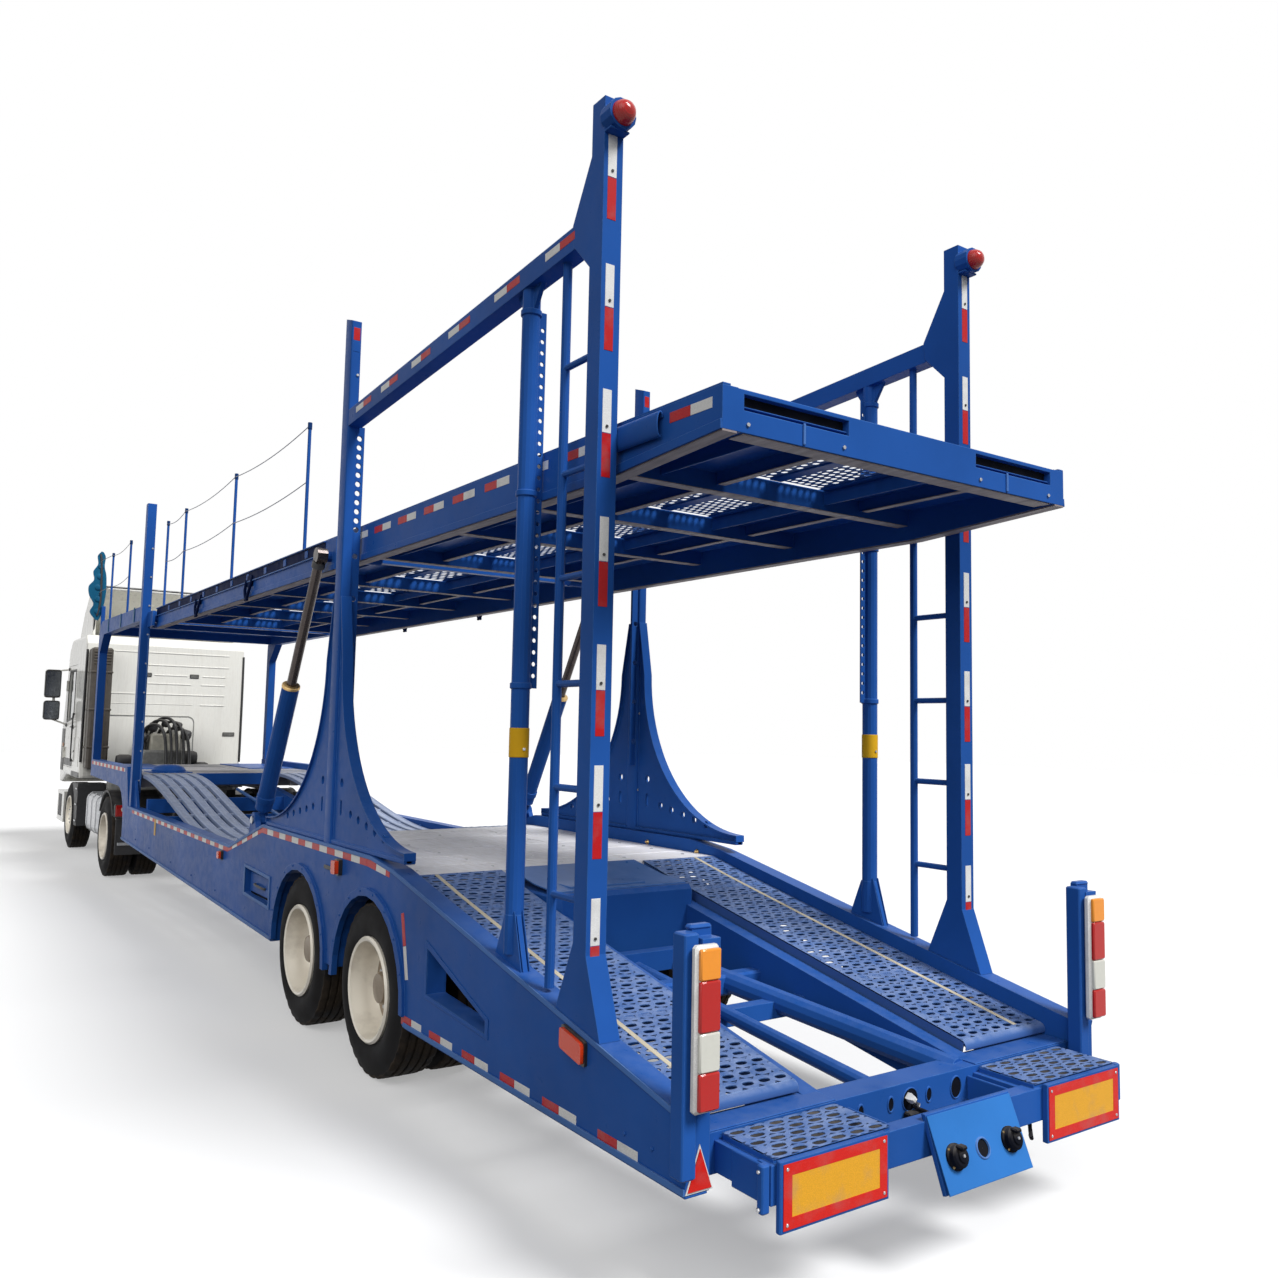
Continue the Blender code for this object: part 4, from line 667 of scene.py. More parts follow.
class TransporterSizes(bpy.types.PropertyGroup):
    tape: length_setting("Tape width", "Width of the reflective tape", 0.05, 0.02, 0.08)
    segment: length_setting("Tape segment", "Length of one colour of the tape", 0.15, 0.05, 0.3)
    hole: length_setting("Track hole", "Half width of a hole in the tracks", 0.019, 0.01, 0.03)
    hole_pitch: length_setting("Hole pitch", "Distance of the holes along the tracks", 0.07, 0.06, 0.2)
    wire: length_setting("Rail wire", "Radius of the railing's wires", 0.004, 0.002, 0.01)


# finishes by their short names, filled by the step that makes them
MADE = {}


def sizes():
    """The panel's measures."""
    return bpy.context.scene.transporter_sizes


def colours():
    """The panel's colours."""
    return bpy.context.scene.transporter_colours


class Step(bpy.types.Operator):
    """One step of the dressing"""
    bl_idname = "transporter.step"
    bl_label = "Step"
    bl_options = {"REGISTER", "UNDO"}

    def execute(self, context):
        self.build()
        return {"FINISHED"}

    def build(self):
        raise RuntimeError("each step builds its own pieces")


class TRANSPORTER_OT_finishes(Step):
    """Make the finishes and give them to the frame's own nodes"""
    bl_idname = "transporter.finishes"
    bl_label = "Finishes"

    def build(self):
        c = colours()
        MADE.update(
            blue=enamel("trailer_enamel", tuple(c.trailer)),
            track=enamel("track_enamel", tuple(c.track), dust=(0.26, 0.33, 0.52), dusty=0.75, rough=0.45,
                edge=(0.3, 0.42, 0.68)),
            # slats: light colour and pale tops, partly dust and wear, partly a painted highlight of their
            # glossy crowns
            slat=enamel("slat_enamel_dust_and_sheen", (0.28, 0.35, 0.53), dust=(0.56, 0.59, 0.66), dusty=0.7, rough=0.45,
                edge=(0.45, 0.5, 0.62)),
            # the trailer's blue made lighter for the hitch plate: painted light on its tilted face
            bright=enamel("hitch_enamel_painted_lighter", (0.032, 0.17, 0.5), worn=0.3),
            # tan on the undersides of the decks' flanges and straps: a painted reflection of the ground
            flange=worn_plate("flange_painted_reflection", (0.25, 0.205, 0.2), (0.16, 0.14, 0.15)),
            # pale blue: cover plates and other pale parts, and painted highlights along the side panels'
            # edges
            pale=enamel("cover_enamel_and_painted_highlight", (0.075, 0.19, 0.5), dust=(0.2, 0.29, 0.54), dusty=0.5,
                edge=(0.16, 0.3, 0.62)),
            # deck plate colour and tone set light: partly painted light against the upper decks' shade
            plate=worn_plate("deck_plate", tuple(c.plate), (0.74, 0.72, 0.71)),
            neck=worn_plate("neck_plate", (0.42, 0.4, 0.4), (0.34, 0.34, 0.36)),
            # near black: dark parts, and dark sheets and floors in holes, recesses and hollows as painted
            # shade
            dark=moulded("dark_parts_and_painted_shade", (0.006, 0.007, 0.012), 0.7, 0.04),
            teal=enamel("guard_enamel", (0.015, 0.13, 0.24)),
            mirror=bare_metal("mirror_face", (0.13, 0.14, 0.15), 0.12, 1.0),
            visor=tinted_glass("visor_plastic", (0.02, 0.025, 0.03)),
            cream=worn_plate("cream_line", (0.62, 0.56, 0.42), (0.45, 0.4, 0.3)),
            red=sheeting("tape_red", tuple(c.tape_red)),
            white=sheeting("tape_white", tuple(c.tape_white)),
            board=sheeting("board_yellow", tuple(c.board)),
            board_red=sheeting("board_red", (0.72, 0.016, 0.01)),
            amber=lamp_lens("lens_amber", (0.85, 0.29, 0.02)),
            lens_red=lamp_lens("lens_red", (0.46, 0.008, 0.006)),
            clear=lamp_lens("lens_clear", (0.62, 0.62, 0.56)),
            side=lamp_lens("lens_side", (0.78, 0.055, 0.008)),
            tyre=rubber("tyre_wall"),
            tread=rubber("tyre_tread", True),
            # rim cream set light: partly its own paint, partly painted light against the shade on the rims
            rim=rim_paint("rim_paint"),
            # dark brown disc: painted shade inside the deep dish, with patches of brake dust
            disc=rim_paint("wheel_disc_painted_shade", (0.3, 0.235, 0.165), (0.1, 0.075, 0.05)),
            steel=bare_metal("plated_steel", (0.42, 0.43, 0.45), 0.3),
            brass=bare_metal("brass_studs", (0.62, 0.42, 0.18), 0.35),
            chrome=bare_metal("cylinder_rod", (0.07, 0.058, 0.055), 0.22),
            navy=enamel("shaded_enamel", (0.003, 0.009, 0.045), dusty=0.06, rough=0.5, worn=0.15,
                gloss=0.015),
            cable=bare_metal("wire_rope", (0.16, 0.16, 0.17), 0.4, 0.6),
            tank=bare_metal("tank_metal", (0.5, 0.51, 0.53), 0.32, 0.8),
            chassis=moulded("chassis_black", (0.018, 0.018, 0.02), 0.55),
            plastic=moulded("black_plastic", (0.012, 0.012, 0.013), 0.42),
            grey=moulded("grey_box", (0.3, 0.3, 0.28), 0.5),
            beige=moulded("beige_box", (0.48, 0.46, 0.38), 0.55),
            trim=moulded("cab_trim", (0.055, 0.052, 0.05), 0.7),
            yellow=enamel("yellow_band", (0.75, 0.42, 0.02), edge=(0.5, 0.4, 0.1)),
            cab=cab_white("cab_enamel", tuple(c.cab)),
            glass=tinted_glass("cab_glass", (0.03, 0.05, 0.055)),
            rail=enamel("rail_paint", (0.01, 0.045, 0.16), worn=0.2),
            stack=moulded("stack_plastic", (0.055, 0.045, 0.035), 0.5))
        sides = ("left", "right")
        shown = {
            "plate": ("axle_deck",),
            "neck": ("gooseneck_deck",),
            "slat": tuple(f"{n}_{s}" for n in ("slat_track", "neck_slats") for s in sides),
            "cab": ("cab_shell", "roof_deflector", "door_left", "door_right", "front_bumper"),
            "glass": ("windscreen", "door_glass_left", "door_glass_right"),
            "tank": ("fuel_tank",),
            "plastic": ("battery_box",),
            "stack": ("air_intake_stack",),
            "trim": ("cab_interior",),
            "chrome": ("lift_rod_left", "lift_rod_right"),
            "tyre": tuple(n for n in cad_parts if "wheel" in n and n != "fifth_wheel"),
            "track": ("rear_track_left", "rear_track_right"),
            "chassis": ("kingpin_plate", "trailer_axle_1", "trailer_axle_2", "landing_legs", "tractor_frame",
                        "fifth_wheel", "drive_axle", "front_axle", "engine_block",
                        "steering_knuckle_left", "steering_knuckle_right")}
        finish_of = {node: key for key, nodes in shown.items() for node in nodes}
        for name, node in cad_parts.items():
            node.data.materials.clear()
            node.data.materials.append(MADE[finish_of.get(name, "blue")])


def tape_run(piece, start, end, out, width, first=0, gap=0.0, segment=None, lift=0.0014):
    """Tape along a straight line: red and white lengths in turn, each a thin plate with its edges taken off.

    start and end are the middle of the tape, out the way it faces; a gap follows each white length.
    """
    segment = segment or sizes().segment
    start, end, out = (np.asarray(v, float) for v in (start, end, out))
    way = end - start
    length = np.linalg.norm(way)
    way /= length
    across = np.cross(out, way)
    s, colour, edge, shortest = 0.0, first, 0.001, 0.02
    while s < length - shortest:
        stop = min(length, s + segment)
        flat = np.array([(s + edge, -1), (stop - edge, -1), (stop - edge, 1), (s + edge, 1)])
        low = start + flat[:, :1] * way + flat[:, 1:] * across * width / 2
        inset = np.array([[edge], [-edge], [-edge], [edge]])
        top = start + out * lift + (flat[:, :1] + inset) * way + flat[:, 1:] * across * (width / 2 - edge)
        piece.add((np.concatenate([low, top]), quads(2, 4, False, True) + caps(2, 4)), colour)
        s = stop + (gap if colour == 1 else 0.0)
        colour = 1 - colour


class TRANSPORTER_OT_tape(Step):
    """Red and white tape on the side panels, posts, bars and the upper deck"""
    bl_idname = "transporter.tape"
    bl_label = "Reflective tape"

    def build(self):
        width = sizes().tape
        finishes = "red white"
        fixed, deck = Piece(), Piece()
        for sign in SIGNS:
            y = sign * (OUTSIDE + TOUCH)
            out = (0, sign, 0)
            for ends in ((2.56, 2.29), (2.19, 1.91), (1.8, 1.52), (1.4, 1.11), (1.01, 0.72), (0.57, 0.27)):
                start, end = ((x, y, heights(PANEL_FOOT, x) + 0.035) for x in ends)
                tape_run(fixed, start, end, out, width, 0, segment=0.14)
            # continuous run under the sill, from the front post to the foot of the slope
            line = [(10.7, 1.0), (6.36, 1.0), (5.38, 1.245), (3.16, 1.245), (2.8, 1.22)]
            for (xa, za), (xb, zb) in zip(line, line[1:]):
                tape_run(fixed, (xa, y, za), (xb, y, zb), out, width * 0.9, 0)
            tape_run(fixed, (13.92, y, 1.455), (11.3, y, 1.455), out, width * 0.9, 0)
            tape_run(fixed, (2.595, y, 1.03), (2.505, y, 0.68), out, width * 0.8, 0, segment=0.18)
            # rear face of the rear post
            x, y_post = REAR_POST_X - TOUCH, sign * 1.205
            for top in REAR_TAPE_TOPS:
                tape_run(fixed, (x, y_post, top), (x, y_post, top - 0.39), (-1, 0, 0), 0.046, 1,
                    segment=0.195)
            # outside of the top bar
            for x in (0.92, 1.44, 1.99, 2.5, 2.98, 3.42):
                z = 4.305 - (x - 0.79) * 0.0559 + 0.012
                tape_run(fixed, (x, y - sign * 0.001, z), (x + 0.27, y - sign * 0.001, z - 0.0151), out, 0.04,
                    0, segment=0.135)
            y = sign * (DECK_HALF + TOUCH)
            for x in (0.08, 0.93, 1.35, 1.75, 2.15, 2.55, 2.95, 3.35, 3.75):
                tape_run(deck, (x, y, 3.352), (x + 0.28, y, 3.352), out, 0.045, 1, segment=0.14)
        fixed.make("trailer_tape", "trailer", "board", finishes)
        deck.make("deck_tape", "rear_deck", "board", finishes)


class TRANSPORTER_OT_tracks(Step):
    """Perforated wheel tracks: sloping ones at the rear, short ones on the tail, those of the upper decks"""
    bl_idname = "transporter.tracks"
    bl_label = "Perforated tracks"

    def build(self):
        hole, pitch = sizes().hole, sizes().hole_pitch
        for side, sign in SIDES:
            inner, outer = 0.53, INSIDE
            rear, front = REAR_TRACK[0][0], REAR_TRACK[-1][0]
            rows = int((front - rear) / pitch)
            step = (front - rear) / rows
            columns = 7
            across = (outer - inner) / columns

            def on_slope(s, t, depth, sign=sign, inner=inner, rear=rear):
                x = rear + s
                return np.stack([x, sign * (inner + t), heights(REAR_TRACK, x) + 0.001 - depth], -1)

            track = Piece()
            track.add(pierced(on_slope, rows, columns, (step, across), (hole * 0.8, hole * 1.5), 0.006,
                steps=12))
            # folded edges down both sides
            x = np.array([p[0] for p in REAR_TRACK])
            z = np.array([p[1] for p in REAR_TRACK])
            for y, deep in ((inner + 0.004, 0.07), (outer - 0.004, 0.026)):
                path = path_of(x, sign * y, z - deep)
                track.add(carried(rounded(0.004, deep, 0.003, 1), path))
            # rolled lip at the lower end
            t = np.linspace(0, np.pi * 0.6, 7)
            lip = np.stack([0.211 - 0.03 * np.sin(t), 0.627 + 0.032 * np.cos(t)], 1)
            lip = np.concatenate([lip, (lip - (0.211, 0.627))[::-1] * 0.84 + (0.211, 0.627)])
            track.add(flat_plate(lip, sign * inner, sign * (outer - inner), 1))
            # cross-bars below
            for bar_x in np.arange(0.45, 2.75, 0.46):
                zb = float(heights(REAR_TRACK, bar_x)) - 0.03
                track.add(block((bar_x - 0.025, sign * (inner + 0.006), zb - 0.02),
                    (bar_x + 0.025, sign * (outer - 0.006), zb + 0.024), 0.004, 1))
            # painted guide line along the outer third
            points = np.array([(px, sign * 0.965, heights(REAR_TRACK, px) + 0.0022)
                for px in np.linspace(0.23, 2.79, 30)])
            track.add(carried([(-0.013, -0.0006), (0.013, -0.0006), (0.012, 0.0006), (-0.012, 0.0006)],
                points), 1)
            track.make(f"rear_track_plates_{side}", "trailer", "blue_steel", "track cream",
                (f"rear_track_{side}",))

            tail = Piece()

            def on_tail(s, t, depth, sign=sign):
                return np.stack([-0.235 + s, sign * (0.455 + t), 0.595 - depth], -1)

            tail.add(pierced(on_tail, 5, 6, (0.0575, 0.0975), (0.017, 0.033), 0.0035, steps=12))
            # dark sheet under the holes: painted shade
            tail.add(block((-0.233, sign * 0.457, 0.588), (0.05, sign * 1.038, 0.5905), 0.001, 1), 1)
            tail.make(f"tail_track_{side}", "trailer", "blue_steel", "track dark")

        for name, body, x0, x1 in (("rear", "rear_deck", 0.1, 4.13), ("front", "front_deck", 4.47, 10.58)):
            deck = Piece()
            rows = int((x1 - x0) / 0.14)
            for side, sign in SIDES:
                def on_deck(s, t, depth, sign=sign, x0=x0):
                    return np.stack([x0 + s, sign * (0.37 + t), DECK_TOP - 0.027 - depth], -1)
                deck.add(pierced(on_deck, rows, 5, ((x1 - x0) / rows, 0.142), (0.042, 0.04), 0.003))
            deck.make(f"{name}_deck_plates", body, "blue_steel", "track")


def slat_line(x):
    """Height of the slatted tracks at stations x: a smooth step down from the axle deck, one up to the neck.

    Between two levels z = a + (b - a) (1 - cos pi u) / 2, where u runs from 0 to 1 across the step.
    """
    x = np.asarray(x, float)
    down = 1.2 + (0.97 - 1.2) * (0.5 - 0.5 * np.cos(np.pi * np.clip((x - 5.35) / 1.2, 0, 1)))
    up = (1.42 - 0.97) * (0.5 - 0.5 * np.cos(np.pi * np.clip((x - 7.4) / 3.57, 0, 1)))
    return down + up


class TRANSPORTER_OT_slats(Step):
    """Rolled slats of the curved front tracks"""
    bl_idname = "transporter.slats"
    bl_label = "Slatted tracks"

    def build(self):
        x = np.linspace(5.36, 12.3, 70)
        columns = 5
        step = (INSIDE - 0.5 + 0.03) / columns
        for side, sign in SIDES:
            track = Piece()
            for y0, y1 in ((0.505 + k * step, 0.46 + (k + 1) * step) for k in range(columns)):
                half = (y1 - y0) / 2
                # a low crowned channel with lips
                profile = [(-half, -0.04), (-half + 0.006, -0.04), (-half + 0.006, -0.006),
                    (half - 0.006, -0.006), (half - 0.006, -0.04), (half, -0.04), (half, -0.004),
                    (half - 0.006, 0.001), (half * 0.55, 0.003), (half * 0.45, -0.002),
                    (-half * 0.45, -0.002), (-half * 0.55, 0.003), (-half + 0.006, 0.001), (-half, -0.004)]
                path = path_of(x, sign * (y0 + y1) / 2, slat_line(x))
                track.add(carried(profile, path))
            for bar_x in (5.75, 6.35, 6.95, 7.55, 8.15, 8.75, 9.35, 9.95, 10.45):
                z = float(slat_line(bar_x))
                track.add(block((bar_x, sign * 0.51, z - 0.042), (bar_x + 0.06, sign * 1.13, z - 0.012),
                    0.004, 1))
            track.make(f"slatted_track_{side}", "trailer", "blue_steel", "slat",
                (f"slat_track_{side}", f"neck_slats_{side}"))


def tyre_shape(radius, half, middle, inner):
    """Outside of one tyre as (radius, offset): bead, bulging wall, rounded shoulder, nearly flat tread."""
    t = np.linspace(0, 1, 9)
    wall_r = inner + (radius - 0.018 - inner) * t
    wall_y = half * (0.8 + 0.2 * np.sin(np.pi * np.clip(t * 1.05, 0, 1)) ** 0.8)
    shoulder = np.array([(radius - 0.01, half * 0.8), (radius - 0.003, half * 0.74)])
    grooves = []
    for centre in (0.5, 0.18):
        w = 0.055
        grooves += [(radius - 0.001, half * (centre + w)), (radius - 0.012, half * (centre + w * 0.7)),
            (radius - 0.012, half * (centre - w * 0.7)), (radius - 0.001, half * (centre - w))]
    right = np.concatenate([np.stack([wall_r, wall_y], 1), shoulder, grooves, [(radius, 0.0)]])
    left = right[::-1][1:] * (1, -1)
    profile = np.concatenate([right, left])
    profile[:, 1] += middle
    return profile


def add_tyre(piece, centre, radius, half, middle, inner, sign):
    """One tyre: wall and tread in finishes of their own, a notch at every third step of its shoulders."""
    profile = tyre_shape(radius, half, middle, inner)
    steps = 96
    dents = np.zeros((steps, len(profile)))
    rim_rows = np.abs(profile[:, 1] - middle) / half
    block_rows = (profile[:, 0] > radius - 0.02) & (rim_rows > 0.55) & (rim_rows < 0.9)
    dents[::3, block_rows] = -0.008
    profile = np.stack([profile[:, 0], profile[:, 1] * sign], 1)
    corners, faces = lathe(profile, centre, 1, steps, dents)
    index = np.arange(len(faces)) % (len(profile) - 1)
    tread = profile[:, 0] > radius - 0.02
    for finish in (0, 1):
        chosen = [f for f, k in zip(faces, index) if (tread[k] and tread[k + 1]) == bool(finish)]
        piece.add((corners, chosen), finish)
    # inside of the tyre, behind the rim
    a, b = profile[0], profile[-1]
    piece.add(lathe([(a[0], a[1]), (a[0] - 0.01, a[1] * 0.5 + b[1] * 0.5), (b[0], b[1])], centre, 1, 48), 0)


def add_rim(piece, centre, inner, sign, depth, hub_out):
    """A dished disc wheel: flange, drop, cone with hand holes, bolt face, hub and its cap, all turned."""
    twin = depth > 0.1
    lip = 0.315 if twin else 0.135
    face = lip - depth
    profile = [(inner + 0.012, lip - 0.03), (inner + 0.016, lip), (inner + 0.004, lip + 0.012),
        (inner - 0.012, lip + 0.006), (inner - 0.018, lip - 0.02), (inner - 0.026, lip - 0.05),
        (inner - 0.034, lip - 0.09), (inner - 0.036, face + 0.05), (inner - 0.052, face + 0.012),
        (inner - 0.085, face - 0.004), (0.165, face + 0.012), (0.15, face + 0.02), (0.105, face + 0.022),
        (0.098, face + 0.03), (0.096, hub_out - 0.03), (0.085, hub_out - 0.008), (0.05, hub_out),
        (0.0005, hub_out)]
    profile = np.array(profile) * (1, sign)
    if twin:
        # deep dish: painted wall, then the disc and hub in a dark brown that is painted shade of the deep
        # dish, with patches of brake dust
        piece.add(lathe(profile[:9], centre, 1, 64), 0)
        piece.add(lathe(profile[8:], centre, 1, 64), 3)
    else:
        piece.add(lathe(profile, centre, 1, 64), 0)
    back = np.array([(inner + 0.012, lip - 0.03), (inner - 0.03, face + 0.03), (inner - 0.06, face - 0.012),
        (0.16, face - 0.002), (0.0005, face - 0.002)]) * (1, sign)
    piece.add(lathe(back[::-1], centre, 1, 64), 0)
    nuts, holes = 10, 8
    for k in range(nuts):
        t = 2 * np.pi * k / nuts
        cx, cz = 0.1275 * math.cos(t), 0.1275 * math.sin(t)
        at = np.asarray(centre, float) + (cx, sign * (face + 0.02), cz)
        piece.add(bar(at, at + (0, sign * 0.028, 0), 0.0135, 6), 1)
    # hand holes drawn as shallow closed cups in dark chassis paint: painted shade in the openings
    for k in range(holes):
        t = 2 * np.pi * (k + 0.5) / holes
        r = (0.165 + inner - 0.085) / 2
        at = np.asarray(centre, float) + (r * math.cos(t), sign * (face + 0.002), r * math.sin(t))
        a, b = ring(0.017, 12).T
        corners = at + path_of(a, sign * 0.0035, b)
        rim_in = at + path_of(a * 0.8, sign * -0.004, b * 0.8)
        piece.add((np.concatenate([corners, rim_in]), quads(2, 12, False, True) + [list(range(12, 24))]), 2)


class TRANSPORTER_OT_wheels(Step):
    """Tyres with grooves and shoulder blocks on dished disc wheels"""
    bl_idname = "transporter.wheels"
    bl_label = "Wheels"

    def build(self):
        for side, sign in SIDES:
            jobs = [(f"trailer_wheel_{i}_{side}", x, TRAILER_TYRE, True)
                for i, x in enumerate(TRAILER_AXLES, 1)]
            jobs += [(f"drive_wheel_{side}", DRIVE_X, TRACTOR_TYRE, True),
                (f"front_wheel_{side}", STEER_X, TRACTOR_TYRE, False)]
            for name, x, radius, dual in jobs:
                centre = np.array((x, sign * (TWIN_Y if dual else SINGLE_Y), radius))
                tyres = Piece()
                for middle, half in (((TWIN_SPREAD, 0.158), (-TWIN_SPREAD, 0.158)) if dual
                        else ((0.0, 0.148),)):
                    add_tyre(tyres, centre, radius, half, middle, BEAD, sign)
                tyres.make(f"{name}_tyres", name, "tyre", "tyre tread", (name,), angle=40)
                rim = Piece()
                if dual:
                    add_rim(rim, centre, BEAD, sign, 0.165, 0.258)
                    inner = [(BEAD, -0.315), (BEAD - 0.03, -0.3), (BEAD - 0.04, -0.12), (BEAD - 0.04, 0.13)]
                    drum = [(0.0005, -0.05), (0.2, -0.05), (0.215, -0.09), (0.215, -0.29), (0.19, -0.3),
                        (0.08, -0.302), (0.0005, -0.302)]
                    rim.add(lathe(np.array(drum) * (1, sign), centre, 1, 40), 2)
                else:
                    add_rim(rim, centre, BEAD, sign, 0.06, 0.125)
                    inner = [(BEAD - 0.005, -0.135), (BEAD - 0.03, -0.11), (BEAD - 0.04, 0.03)]
                rim.add(lathe(np.array(inner) * (1, sign), centre, 1, 48), 0)
                rim.make(f"{name}_rim", name, "tyre", "rim steel chassis disc", angle=40)


class TRANSPORTER_OT_lamps(Step):
    """Tail-lamp bars, post lamps, side markers, triangles and the faces of the marker boards"""
    bl_idname = "transporter.lamps"
    bl_label = "Lamps and boards"

    def build(self):
        lamps = Piece()
        for sign in SIGNS:
            # lamp bar: white rim, then amber, red, clear, red from the top
            y = sign * 1.197 + 0.026
            low, high = 0.745, 1.305
            lamps.fit(1, (
                (7, block, (-0.045, y + 0.012, 0.5), (0.03, y + 0.078, 1.352), 0.006, 2),
                (0, block, (-0.085, y - 0.052, low - 0.01), (-0.05, y + 0.056, high + 0.01), 0.01)))
            z1 = high
            for share, finish in ((0.2, 1), (0.32, 2), (0.245, 3), (0.235, 2)):
                z0 = z1 - share * (high - low)
                lamps.add(block((-0.1, y - 0.047, z0 + 0.0015), (-0.08, y + 0.045, z1 - 0.0015), 0.005),
                    finish)
                z1 = z0
            # round lamp near the top of the rear post
            at = np.array((REAR_POST_X - 0.06, sign * 1.2, 4.76))
            dome = np.array([(0.0005, -0.066), (0.02, -0.064), (0.038, -0.054), (0.05, -0.037),
                (0.056, -0.012), (0.056, 0.0)])
            lamps.add(lathe(dome, at, 0, 28), 2)
            lamps.add(lathe([(0.056, -0.004), (0.062, -0.006), (0.066, 0.0), (0.066, 0.02), (0.056, 0.02)],
                at, 0, 28), 4)
            # side markers on the outside of the panel
            for x, z, a, b, deep in ((0.75, 0.77, 0.085, 0.042, 0.03), (3.62, 1.165, 0.036, 0.042, 0.05),
                    (6.52, 0.935, 0.034, 0.03, 0.04)):
                slope = 0.2 if x < 2 else 0.0
                for grow, y0, y1, finish in ((0.008, 0.0, deep * 0.5, 4), (0.0, deep * 0.4, deep, 5)):
                    outline = rounded(a + grow, b + grow, 0.012, 2)
                    outline[:, 1] += outline[:, 0] * slope
                    lamps.add(flat_plate(outline + (x, z), sign * (OUTSIDE + y0), sign * (y1 - y0), 1),
                        finish)
            # red triangle with a white edge on the frame's rear end
            for size, depth, finish in ((1.0, 0.004, 0), (0.86, 0.008, 6)):
                tip = np.array([(0.062, 0.435), (0.0, 0.6), (-0.062, 0.435)]) - (0, 0.49)
                flat = tip * size + (sign * 1.188, 0.49)
                lamps.add(flat_plate(flat, -depth, depth - 0.0005, 0), finish)
        lamps.make("trailer_lamps", "trailer", "board",
            "white amber lens_red clear plastic side board_red blue")

        for side, sign in SIDES:
            face = Piece()
            y0, y1, z0, z1 = 0.505, 1.026, 0.36, 0.58
            x = -0.2655
            lip = 0.04
            outer = np.array([(y0, z0), (y1, z0), (y1, z1), (y0, z1)])
            inner = np.array([(y0 + lip, z0 + lip), (y1 - lip, z0 + lip), (y1 - lip, z1 - lip),
                (y0 + lip, z1 - lip)])
            rings = [np.stack([np.full(4, depth), sign * o[:, 0], o[:, 1]], 1)
                for depth, o in ((x, outer), (x - 0.003, outer), (x - 0.003, inner), (x, inner))]
            face.add((np.concatenate(rings), quads(4, 4, True, True)), 0)
            face.add(flat_plate(inner * (sign, 1), x, -0.0022, 0), 1)
            for y in (y0 + 0.017, y1 - 0.017):
                for z in (z0 + 0.017, z1 - 0.017):
                    face.add(bar((x - 0.001, sign * y, z), (x - 0.0055, sign * y, z), 0.006, 10), 2)
            face.make(f"marker_face_{side}", "trailer", "board", "board_red board steel")


class TRANSPORTER_OT_railing(Step):
    """Slack wires between the posts of the railing on the left side"""
    bl_idname = "transporter.railing"
    bl_label = "Railing wires"

    def build(self):
        wire = sizes().wire
        for name, body, posts, y, base in (("moving", "front_deck", (5.2, 7.39, 9.5, 10.45), DECK_HALF - 0.03,
                DECK_TOP), ("fixed", "trailer", (12.26, 13.63), DECK_HALF + 0.07, DECK_TOP)):
            piece = Piece()
            for x in posts:
                piece.add(bar((x, y, base + 0.98), (x, y, base + 1.035), 0.018, 10), 1)
            for a, b in zip(posts, posts[1:]):
                for z, sag in ((base + 1.0, 0.045), (base + 0.55, 0.035)):
                    t = np.linspace(0, 1, 25)
                    path = path_of(a + (b - a) * t, y + 0.012, z - sag * 4 * t * (1 - t))
                    piece.add(carried(ring(wire, 6), path), 0)
            if name == "fixed":
                # the last wire runs on to the guard at the platform's corner
                for z in (base + 1.0, base + 0.55):
                    piece.add(tube_path([(13.63, y + 0.012, z), (13.8, 1.3, z - 0.07),
                        (13.967, 1.29, z - 0.1)], wire, 6), 0)
            piece.make(f"railing_wires_{name}", body, "rod_steel", "cable rail")


